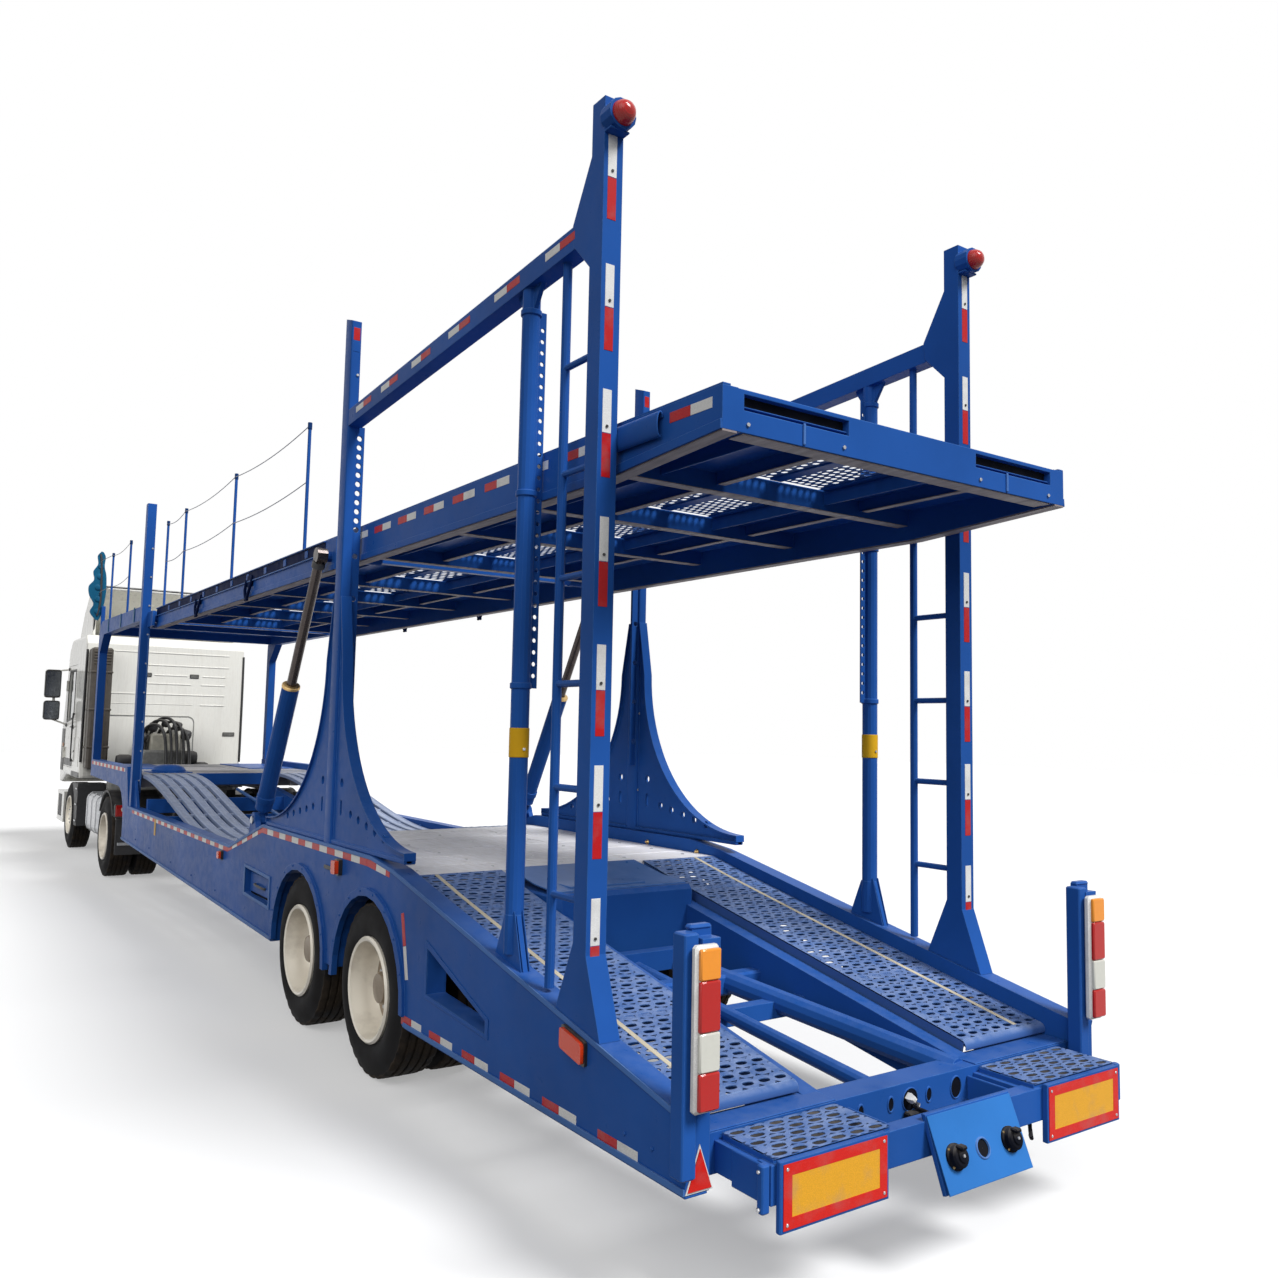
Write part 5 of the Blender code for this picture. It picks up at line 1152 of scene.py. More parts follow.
class TRANSPORTER_OT_posts(Step):
    """Middle posts with holed guide strips and pierced gussets, holed strips and bands on the pillars"""
    bl_idname = "transporter.posts"
    bl_label = "Posts and gussets"

    def build(self):
        base, middle = 1.2903, 1.215
        for side, sign in SIDES:
            post = Piece()
            tube = rounded(0.065, 0.035, 0.012, 3) + (3.895, sign * middle)
            post.add(upright(tube, base, 4.86 - 0.35 * (3.96 - tube[:, 0])))
            holes = [ring(0.019, 12) + (sign * 1.158, z) for z in np.arange(3.38, 4.07, 0.063)]
            holes += [ring(0.019, 12) + (sign * 1.158, z) for z in (1.98, 2.29, 2.6, 2.91, 3.2)]
            edge = np.array([(1.125, 1.79), (1.19, 1.79), (1.19, 4.09), (1.125, 4.09)]) * (sign, 1)
            post.add(holed(edge, holes, 3.848, 0.017, 0))
            for way, edge_x, reach in ((-1, MID_POST_X, 1.22), (1, MID_POST_X + 0.13, 1.34)):
                corner = edge_x + way * reach
                t = np.linspace(0, np.pi / 2, 24)
                curve = np.stack([corner - way * reach * 0.93 * np.sin(t),
                    base + 0.06 + 1.15 * (1 - np.cos(t))], 1)
                outline = np.concatenate([[(edge_x - way * 0.01, base), (corner, base)], curve,
                    [(edge_x - way * 0.01, base + 1.65)]])
                holes = [ring(0.026, 14) + (edge_x + way * (0.3 + 0.14 * k), base + 0.21 - 0.025 * k)
                    for k in range(5)]
                holes += [rounded(0.017, 0.05, 0.015, 3) + (edge_x + way * 0.12, base + 0.24),
                    ring(0.03, 14) + (edge_x + way * 0.12, base + 0.4)]
                post.add(holed(outline, holes, sign * 1.2, sign * 0.03))
                rim = np.concatenate([[(corner, base + 0.02)], curve, [(edge_x + way * 0.004, base + 1.63)]])
                post.add(carried(RECT * (0.005, 0.036), path_of(rim[:, 0], sign * 1.213, rim[:, 1]),
                    (0, 1, 0)))
                post.add(block((edge_x, sign * 1.175, base), (corner, sign * 1.245, base + 0.028), 0.005, 0))
            x, y = MID_POST_X - TOUCH, sign * 1.215
            tape_run(post, (x, y, 4.77), (x, y, 4.6), (-1, 0, 0), 0.045, 1, segment=0.09)
            for z in (4.44, 2.2, 1.6):
                post.add(hexagon((MID_POST_X, sign * 1.2, z), (-1, 0, 0), 0.01, 0.009), 3)
            post.make(f"middle_post_{side}", "trailer", "blue_steel", "blue red white steel",
                (f"mid_post_{side}",))

            pillar = Piece()
            holes = [ring(0.011, 10) + (sign * 1.135, z) for z in np.arange(2.32, 4.08, 0.057)]
            edge = np.array([(1.115, 2.26), (1.16, 2.26), (1.16, 4.12), (1.115, 4.12)]) * (sign, 1)
            pillar.add(holed(edge, holes, 1.396, 0.007, 0))
            band = [(0.0452, -0.07), (0.048, -0.068), (0.048, 0.068), (0.0452, 0.07)]
            pillar.fit(sign, (
                (1, turned, band, (1.4, 1.2, 2.0), (0, 0, 1), 24),
                (2, hexagon, (1.352, 1.2, 1.97), (-1, 0, 0), 0.008, 0.006),
                *((0, turned, [(0.0452, -0.016), (0.052, -0.012), (0.052, 0.012), (0.0452, 0.016)],
                    (1.4, 1.2, z), (0, 0, 1), 24) for z in (2.27, 3.2, 4.1))))
            # flared foot of the pillar on the sloping sill, and the bolt at the foot of each white tape
            foot_x = np.array((1.25, 1.55))
            foot_z = heights(SILL, foot_x) - 0.01
            for y, deep in ((1.188, 0.024), (1.176, 0.004), (1.22, 0.004)):
                wide = 0.0 if deep > 0.01 else 0.02
                plate = [(foot_x[0] + 0.02, foot_z[0]), (foot_x[1] - 0.02, foot_z[1]),
                    (1.4 + 0.046, foot_z[1] + 0.2), (1.4 - 0.046, foot_z[1] + 0.2 + wide)]
                pillar.add(flat_plate(plate, sign * y, sign * deep))
            pillar.fit(sign, (
                *((4, hexagon, (REAR_POST_X - 0.0017, 1.205, z - 0.165), (-1, 0, 0), 0.007, 0.006)
                    for z in REAR_TAPE_TOPS),
                (0, block, (0.64, 1.15, 4.69), (0.69, 1.25, 4.7), 0.002, 0),
                # front post: strip and bolt heads on its rear face
                *((2, hexagon, (FRONT_POST_X, 1.172, z), (-1, 0, 0), 0.012, 0.01)
                    for z in np.arange(1.35, 4.5, 0.35)),
                (3, block, (10.806, 1.15, 1.2), (FRONT_POST_X, 1.168, 3.1), 0.003, 2)))
            pillar.make(f"post_fittings_{side}", "trailer", "blue_steel", "blue yellow steel pale plastic")


class TRANSPORTER_OT_decks(Step):
    """Perforated planks, stringers, flanges, straps and hooks of the two upper decks"""
    bl_idname = "transporter.decks"
    bl_label = "Upper deck details"

    def build(self):
        for name, body, spans, beam in (("rear", "rear_deck",
                ((0.11, 0.94), (1.03, 1.89), (1.98, 2.84), (2.93, 4.13)),
                ((0.02, 3.235), (0.92, 3.18), (4.23, 3.18))),
                ("front", "front_deck", ((4.48, 5.69), (5.78, 6.89), (6.98, 8.09), (8.18, 9.29),
                (9.38, 10.57)), ((4.37, 3.18), (10.68, 3.18)))):
            deck, planks = Piece(), Piece()
            for x0, x1 in spans:
                for y0, y1 in ((0.04, 0.32), (-0.32, -0.04)):
                    rows = int((x1 - x0) / (0.055 if name == "rear" else 0.09))
                    columns = 6 if name == "rear" else 4
                    size = ((x1 - x0) / rows, (y1 - y0) / columns)

                    def on_plank(s, t, depth, x0=x0, y0=y0):
                        return np.stack([x0 + s, y0 + t, 3.374 - depth], -1)
                    planks.add(pierced(on_plank, rows, columns, size, (size[0] * 0.36, size[1] * 0.38), 0.003,
                        steps=8))
                for y0, y1 in ((0.32, 0.362), (-0.362, -0.32), (-0.04, 0.04)):
                    deck.add(block((x0, y0, 3.362), (x1, y1, 3.376), 0.003, 0))
                for y in (0.38, -0.63, 0.72, -0.36):
                    deck.add(block((x0 - 0.01, y - 0.005, 3.285), (x1 + 0.01, y + 0.005, 3.352), 0.002, 0))
                    if y in (0.38, -0.63):
                        # tan strip under the stringer: painted reflection of the ground
                        deck.add(block((x0 + 0.03, y - 0.022, 3.279), (x1 - 0.03, y + 0.022, 3.285), 0.002,
                            0), 1)
                # tan strap under the deck: painted reflection of the ground
                deck.add(block((x1 + 0.008, -1.02, 3.255), (x1 + 0.082, 1.02, 3.2597), 0.0015, 1), 1)
            x, z = np.array(beam).T
            for sign in SIGNS:
                # lower and upper flange of the side beam; the lower one in tan, a painted reflection of the
                # ground
                deck.add(carried(RECT * (0.036, 0.004), path_of(x, sign * 1.072, z - 0.0042)), 1)
                deck.add(carried(RECT * (0.02, 0.004), path_of(x[[0, -1]], sign * 1.089, 3.4142)))
                deck.add(carried(RECT * (0.004, 0.02), path_of(x, sign * 1.1143, z + 0.018)))
            if name == "rear":
                deck.fit(1, (
                    # tan strip under the end beam: painted reflection of the ground
                    (1, block, (0.025, -1.0, 3.229), (0.115, 1.0, 3.2347), 0.002, 1),
                    *((2, block, (0.012, y - 0.006, 3.24), (0.0197, y + 0.006, 3.33), 0.002, 2)
                        for y in (0.68, -0.65))))
                for y0 in (0.422, -0.998):
                    # painted shade: a dark sheet inside the end beam, with a thin ledge across each opening
                    deck.fit(1, (
                        (5, block, (0.052, y0, 3.3255), (0.06, y0 + 0.576, 3.3895), 0.002, 1),
                        (0, block, (0.03, y0, 3.338), (0.052, y0 + 0.576, 3.344), 0.002, 1)))
                for sign in SIGNS:
                    # rolled sleeve on the outside of the beam, open at its ends
                    t = np.linspace(-0.62 * np.pi, 0.8 * np.pi, 14)
                    shell = [np.stack([1.128 + a * np.cos(t), 3.335 + b * np.sin(t)], 1)
                        for a, b in ((0.0195, 0.056), (0.014, 0.049))]
                    deck.add(flat_plate(np.concatenate([shell[0], shell[1][::-1]]) * (sign, 1), 0.4, 0.36, 0))
                    deck.fit(sign, (
                        # dark block inside the sleeve: painted shade in its hollow
                        (5, block, (0.46, 1.1107, 3.292), (0.75, 1.138, 3.375), 0.004, 0),
                        *((3, hexagon, (0.02, y, 3.27), (-1, 0, 0), 0.009, 0.008) for y in (0.45, 0.98)),
                        # knuckle plates at the elbow
                        (3, turned, [(0.062, -0.004), (0.066, 0.0), (0.066, 0.014), (0.06, 0.018),
                            (0.0005, 0.018)], (ELBOW_X, 1.0003, 3.27), (0, 1, 0), 24)))
            else:
                # painted shade: a thin dark sheet over the shaded upper channel of the side beams, with its
                # lips
                deck.both(block((4.6, 1.1102, 3.322), (10.66, 1.1128, 3.404), 0.001, 0), 4)
                for z in (3.316, 3.407):
                    deck.both(carried(RECT * (0.008, 0.004),
                        np.array([(4.6, 1.1175, z), (10.66, 1.1175, z)])), 0 if z > 3.35 else 2)
                for x0 in np.arange(5.0, 10.5, 0.55):
                    deck.both(block((x0, 1.1125, 3.335), (x0 + 0.07, 1.1165, 3.392), 0.003, 0), 0)
                for x0 in (8.49, 6.59):
                    # hanging hooks: a plate and a loop of round bar
                    deck.both(block((x0 - 0.07, 1.1125, 3.27), (x0 + 0.07, 1.124, 3.37), 0.004, 0), 4)
                    for lean in (1, -1):
                        hook = [(x0 + lean * 0.09, 1.122, 3.33), (x0 + lean * 0.07, 1.138, 3.24),
                            (x0 + lean * 0.02, 1.142, 3.165), (x0 - lean * 0.03, 1.142, 3.15)]
                        deck.both(tube_path(hook, 0.013, 8), 4)
            deck.make(f"{name}_deck_frame", body, "blue_steel", "blue flange pale steel navy dark")
            planks.make(f"{name}_deck_planks", body, "blue_steel", "track")
        # platform: ribbed guard with its bar at the left front corner, brackets on the side frames
        top = Piece()
        outer = smooth_path(np.array([(1.32, 3.5), (1.395, 3.61), (1.355, 3.73), (1.415, 3.85), (1.428, 3.98),
            (1.365, 4.08), (1.38, 4.2), (1.325, 4.31), (1.335, 4.43), (1.29, 4.5)]))
        edge = smooth_path(np.array([(1.262, 4.49), (1.232, 4.42), (1.238, 4.28), (1.208, 4.14), (1.2, 3.92),
            (1.222, 3.7), (1.252, 3.56), (1.285, 3.49)]))
        top.add(flat_plate(np.concatenate([outer, edge])[:, :2], 13.965, 0.03, 0))
        top.fit(1, (
            *((0, turned, [(0.0005, 0.014), (0.03, 0.014), (0.04, 0.008), (0.043, 0.0)], (13.964, y0, z0),
                (-1, 0, 0), 16) for z0, y0 in ((3.62, 1.3), (3.8, 1.3), (3.97, 1.31), (4.13, 1.29),
                (4.28, 1.28))),
            (1, tube_path, [(13.96, 1.3, 3.56), (13.955, 1.27, 3.75), (13.955, 1.27, 4.05),
                (13.955, 1.285, 4.36), (13.96, 1.3, 4.46)], 0.014, 8),
            # its foot: a flat upright that stands in the corner of the platform's side frame
            (2, block, (13.926, 1.198, 3.31), (13.9648, 1.2496, 3.7), 0.003, 2)))
        for x0 in (11.28, 12.23, 13.2):
            top.both(block((x0, 1.2503, 3.28), (x0 + 0.05, 1.258, 3.46), 0.003, 2))
        top.make("platform_guard", "trailer", "blue_steel", "teal chassis blue")


class TRANSPORTER_OT_chassis(Step):
    """Sockets and fittings of the rear beam and hitch plate, the well's rail, cover plates and seams"""
    bl_idname = "transporter.chassis"
    bl_label = "Chassis details"

    def build(self):
        rear = Piece()
        back = (-1, 0, 0)
        for y, r, stretch in ((0.3, 0.016, 1.7), (0.12, 0.016, 1.7), (-0.12, 0.016, 1.7), (-0.3, 0.034, 1.3),
                (0.0, 0.046, 1.0)):
            rim, floor = eyelet((0.0597, y, 0.528), back, r, stretch)
            # dark floors of the openings: painted shade
            rear.add(rim, 1).add(floor, 2)
        # plug in the large socket with its block below
        rear.fit(1, (
            (7, turned, [(0.02, 0.0), (0.022, 0.02), (0.013, 0.04), (0.0005, 0.044)], (0.058, 0.014, 0.54),
                back, 4),
            (5, turned, [(0.01, 0.0), (0.01, 0.03), (0.0005, 0.032)], (0.058, -0.02, 0.51), back, 10),
            (2, block, (0.02, -0.045, 0.452), (0.058, 0.045, 0.486), 0.006, 1),
            (2, tube_path, [(0.05, -0.01, 0.5), (0.0, -0.03, 0.49), (-0.06, -0.06, 0.475),
                (-0.15, -0.1, 0.47)], 0.008, 8),
            *((1, block, (-0.175, y - 0.006, 0.462), (0.058, y + 0.006, 0.566), 0.003, 0)
                for y in (0.38, -0.38))))
        # plate over the tilted hitch in a lighter blue, painted light for the light its tilted face catches;
        # its centre rim and the two side fittings
        drop = np.array((-0.115, 0.0, -0.27))
        drop /= np.linalg.norm(drop)
        out = np.array((drop[2], 0.0, -drop[0]))
        start = np.array((-0.2415, 0.0, 0.598)) + out * 0.0005
        length = 0.288
        along = (0.598 - 0.44) / 0.27 * length * 0.985
        holes = [ring(0.034, 20) + (y, along) for y in (-0.17, 0.0, 0.17)]
        face = holed(np.array([(-0.258, 0.004), (0.258, 0.004), (0.258, length), (-0.258, length)]), holes,
            0.0, 0.004, 2)
        rear.add(placed(face, start, (0, 1, 0), drop, out), 3)
        centre = start + drop * along
        rear.fit(1, (
            (4, turned, [(0.034, 0.002), (0.034, 0.009), (0.038, 0.01), (0.041, 0.007), (0.041, 0.003)],
                centre, out, 24),
            # dark disc in the centre hole: painted shade
            (2, turned, [(0.036, 0.0008), (0.0005, 0.0008)], centre, out, 20)))
        for y in (-0.17, 0.17):
            at = centre + (0, y, 0)
            rear.fit(1, (
                (2, turned, [(0.05, 0.004), (0.05, 0.012), (0.043, 0.016), (0.043, 0.034), (0.036, 0.042),
                    (0.02, 0.045), (0.0005, 0.045)], at, out, 24),
                (2, turned, [(0.024, 0.04), (0.024, 0.05), (0.018, 0.053), (0.0005, 0.053)], at, out, 16),
                (5, turned, [(0.007, 0.052), (0.006, 0.058), (0.0005, 0.058)], at + (0, 0.004, 0), out, 8),
                (2, block, at + (-0.052, -0.018, 0.04), at + (-0.018, 0.018, 0.056), 0.005, 1)))
            for k in range(4):
                turn = np.pi * (0.25 + 0.5 * k)
                rear.add(hexagon(at + drop * 0.046 * np.cos(turn) + (0, 0.046 * np.sin(turn), 0) + out * 0.01,
                    out, 0.005, 0.006), 6)
        # hook under the tail on the right, bolts and outer brackets beside the boards
        rear.add(tube_path([(-0.2, -0.46, 0.44), (-0.2, -0.465, 0.4), (-0.215, -0.45, 0.375),
            (-0.235, -0.425, 0.378), (-0.24, -0.41, 0.395)], 0.009, 8), 2)
        for sign in SIGNS:
            rear.fit(sign, (
                (1, block, (-0.238, 1.0605, 0.415), (-0.205, 1.098, 0.582), 0.006, 2),
                (1, block, (-0.205, 1.0605, 0.44), (-0.04, 1.072, 0.572), 0.004, 0),
                (5, hexagon, (-0.22, 1.098, 0.558), (0, 1, 0), 0.007, 0.007),
                (5, hexagon, (-0.22, 1.098, 0.432), (0, 1, 0), 0.008, 0.009),
                (1, block, (-0.2638, 0.4955, 0.348), (-0.2432, 0.5045, 0.592), 0.003, 2),
                (1, block, (-0.2638, 1.026, 0.348), (-0.2432, 1.04, 0.592), 0.003, 2),
                # sealing plate between the tail's track and the rear track
                (1, block, (0.062, 0.44, 0.6), (0.205, 1.135, 0.606), 0.002, 1)))
        rear.make("rear_beam_fittings", "trailer", "blue_steel",
            "blue blue dark bright pale steel brass white")

        well = Piece()
        # slender rail down the middle of the open well, lying on the cross-members
        x = np.array([10.94, 10.4, 9.34, 8.14, 6.94, 5.79])
        z = np.interp(x, (5.25, 6.15, 7.9, 10.95), (1.1497, 0.9197, 0.9197, 1.24)) - 0.03 + 0.014
        well.add(carried(rounded(0.018, 0.014, 0.006, 2), path_of(x, 0.0, z)), 1)
        # rounded head of the box beam, the cover up to the axle deck and the beam across behind it
        well.fit(1, (
            (0, block, (2.185, -0.49, 0.742), (2.33, 0.49, 1.128), 0.026, 1),
            (0, block, (2.29, -0.488, 0.97), (2.8, 0.488, 1.112), 0.01, 1)))
        well.add(carried(RECT * (0.47, 0.004),
            np.array([(2.25, 0, 1.131), (2.5, 0, 1.148), (2.82, 0, 1.2045)])), 1)
        well.fit(1, (
            (2, block, (2.3, -0.2, 1.136), (2.62, 0.34, 1.15), 0.004, 1),
            (0, block, (1.5, -0.53, 0.632), (1.6, 0.53, 0.742), 0.012, 1),
            (4, tube_path, [(1.62, 0.38, 0.6), (1.5, 0.3, 0.585), (1.4, 0.26, 0.6), (1.33, 0.2, 0.59)], 0.018,
                8)))
        # blue plates beside the neck's grey middle
        for sign in SIGNS:
            well.add(block((12.3, sign * 0.5, 1.4203), (13.93, sign * 1.12, 1.432), 0.004, 0), 0)
        # seams and bolt rows of the axle deck
        for seam in (3.14, 3.55, 4.0, 4.62, 5.1):
            well.add(block((seam, -1.12, 1.1995), (seam + 0.03, 1.12, 1.2035), 0.0015, 1), 3)
        for seam in (2.98, 3.36, 3.78, 4.3, 4.86):
            for y in np.arange(-1.0, 1.01, 0.5):
                well.add(turned([(0.013, 0.0), (0.012, 0.003), (0.006, 0.005), (0.0005, 0.005)],
                    (seam, y, 1.2), (0, 0, 1), 10), 4)
        well.fit(1, (
            *((3, block, (2.83, y - 0.008, 1.1997), (5.33, y + 0.008, 1.203), 0.001, 0)
                for y in (-0.52, 0.52)),
            # neck plate: seams and its turned-down rear edge, box with a dome at the left of the neck
            *((5, block, (seam, -1.12, 1.4197), (seam + 0.028, 1.12, 1.4235), 0.0015, 1)
                for seam in (11.6, 12.4, 13.2)),
            (0, block, (10.955, -0.495, 1.28), (10.9697, 0.495, 1.424), 0.004, 1)))
        dome = [(0.2, 0.0), (0.2, 0.03), (0.17, 0.07), (0.1, 0.095), (0.0005, 0.1)]
        well.fit(1, (
            (0, turned, dome, (11.35, 0.74, 1.42), (0, 0, 1), 28),
            (0, block, (11.14, 0.5, 1.4203), (11.62, 0.98, 1.432), 0.004, 0)))
        for sign in SIGNS:
            for x0, z0 in ((3.6, 1.22), (2.99, 1.21), (2.39, 1.07), (1.81, 0.96), (1.25, 0.84), (0.8, 0.75),
                    (0.61, 0.7)):
                well.add(turned([(0.018, 0.0), (0.018, 0.006), (0.012, 0.012), (0.008, 0.022),
                    (0.0005, 0.024)], (x0, sign * 1.14, min(z0, heights(SILL, x0) - 0.035)), (0, -sign, 0),
                    12), 6)
        well.make("deck_fittings", "trailer", "deck_plate", "blue pale pale plate steel neck brass")


class TRANSPORTER_OT_panels(Step):
    """Edge strips in pale paint as painted highlights, hatch, brackets and tags on the outside of the side
    frames
    """
    bl_idname = "transporter.panels"
    bl_label = "Side panels"

    def build(self):
        x, z = np.array(SILL[:6]).T
        low = np.array([(0.0, 0.43), (2.52, 0.43)])
        nose = np.array([(5.02, 0.47), (11.3, 0.62)])
        y = OUTSIDE
        for side, sign in SIDES:
            trim = Piece()
            # pale strips along the sill's top edge and the lower edges: painted highlights on the edges
            trim.add(carried(RECT * (0.003, 0.011), path_of(x, sign * (y + 0.0032), z - 0.012)), 1)
            for line in (low, nose):
                trim.add(carried(RECT * (0.004, 0.012), path_of(line[:, 0], sign * (y + 0.0042),
                    line[:, 1] + 0.0125)), 1)
                trim.add(carried(RECT * (0.05, 0.004), path_of(line[:, 0], sign * (y - 0.05),
                    line[:, 1] - 0.0042)))
            # hatch: frame, door set back in the recess, handle
            outer = np.array([(5.095, 0.678), (5.805, 0.7), (5.805, 0.942), (5.095, 0.922)])
            inner = [(5.122, 0.703), (5.778, 0.722), (5.778, 0.918), (5.122, 0.899)]
            trim.add(holed(outer, [np.array(inner)], sign * (y + TOUCH), sign * 0.006), 1)
            trim.fit(sign, (
                # dark plate at the back of the recess: painted shade
                (2, block, (5.14, y - 0.049, 0.715), (5.76, y - 0.045, 0.905), 0.002, 1),
                (0, block, (5.24, y - 0.045, 0.735), (5.74, y - 0.032, 0.885), 0.006, 1),
                (3, tube_path, [(5.32, y - 0.045, 0.8), (5.34, y - 0.015, 0.8), (5.56, y - 0.015, 0.806),
                    (5.58, y - 0.045, 0.806)], 0.009, 8)))
            # rim of the triangular window
            outer = np.array([(2.262, 0.94), (2.262, 0.638), (1.528, 0.598), (1.528, 0.692)])
            trim.add(holed(outer, [np.array([(2.24, 0.9), (2.24, 0.66), (1.56, 0.62), (1.56, 0.68)])],
                sign * (y + TOUCH), sign * 0.004))
            # plain tag and lamp wire brackets
            trim.fit(sign, (
                (4, block, (9.31, y + TOUCH, 0.84), (9.39, y + 0.003, 1.02), 0.0015, 0),
                (3, block, (3.665, y + TOUCH, 1.125), (3.9, y + 0.012, 1.15), 0.004, 0),
                *((0, hexagon, (x0, y, heights(PANEL_FOOT, x0) + 0.1), (0, 1, 0), 0.008, 0.006)
                    for x0 in (0.2, 0.38, 6.7, 7.6, 8.5, 9.6, 10.4)),
                # inner reinforcing ribs of the frame seen through the well
                *((0, block, (x0, INSIDE, 0.66), (x0 + 0.06, 1.118, 1.0), 0.005, 2)
                    for x0 in (6.6, 7.8, 9.0, 10.2))))
            # studs round the arch lips
            for axle in TRAILER_AXLES:
                for turn in np.radians(np.arange(20, 161, 20)):
                    at = (axle + 0.575 * math.cos(turn), sign * (y + 0.018),
                        TRAILER_TYRE + 0.575 * math.sin(turn))
                    trim.add(turned([(0.007, 0.0), (0.006, 0.004), (0.0005, 0.005)], at, (0, sign, 0), 8))
            # cap of the tail post
            trim.add(block((-0.004, sign * 1.143, 1.352), (0.04, sign * 1.242, 1.372), 0.008, 0))
            trim.make(f"side_trim_{side}", "trailer", "blue_steel", "blue pale dark chassis yellow")


class TRANSPORTER_OT_cylinders(Step):
    """Gland rings, heads, hoses and pin caps of the lift cylinders"""
    bl_idname = "transporter.cylinders"
    bl_label = "Lift cylinders"

    def build(self):
        for side, sign in SIDES:
            foot, eye = np.array((5.65, sign * 1.185, 1.3)), np.array((4.48, sign * 1.185, 3.28))
            way = (eye - foot) / np.linalg.norm(eye - foot)
            barrel = Piece()
            gland = [(0.0652, -0.016), (0.068, -0.012), (0.068, 0.004), (0.064, 0.01), (0.046, 0.014),
                (0.0375, 0.014)]
            barrel.fit(1, (
                (3, turned, gland, foot + way * 1.22, way, 28),
                (0, turned, [(0.0652, 0.0), (0.071, 0.004), (0.071, 0.05), (0.0652, 0.054)],
                    foot + way * 0.18, way, 28)))
            side_way = np.array((way[2], 0, -way[0]))
            for reach in (0.3, 1.1):
                at = foot + way * reach + side_way * 0.062
                barrel.add(turned([(0.016, 0.0), (0.016, 0.02), (0.011, 0.024), (0.011, 0.036),
                    (0.0005, 0.036)], at, side_way, 12), 1)
            run = [foot + way * 0.3 + side_way * 0.095, foot + way * 0.42 + side_way * 0.1,
                foot + way * 0.7 + side_way * 0.092, foot + way * 1.0 + side_way * 0.1,
                foot + way * 1.1 + side_way * 0.095]
            barrel.add(tube_path(run, 0.0085, 8), 2)
            barrel.make(f"cylinder_fittings_{side}", f"cylinder_{side}", "rod_steel",
                "blue steel chassis brass")
            head = Piece()
            head.add(turned([(0.0365, -0.1), (0.047, -0.095), (0.047, -0.055), (0.04, -0.05)], eye, way, 24),
                0)
            head.make(f"rod_head_{side}", f"rod_{side}", "rod_steel", "chassis")
            pins = Piece()
            for at, out in (((5.65, sign * 1.25, 1.3), sign), ((5.65, sign * 1.14, 1.3), -sign)):
                pins.add(turned([(0.03, 0.0), (0.03, 0.01), (0.024, 0.014), (0.0005, 0.014)], at, (0, out, 0),
                    18))
            pins.make(f"cylinder_pins_{side}", "trailer", "rod_steel", "steel")


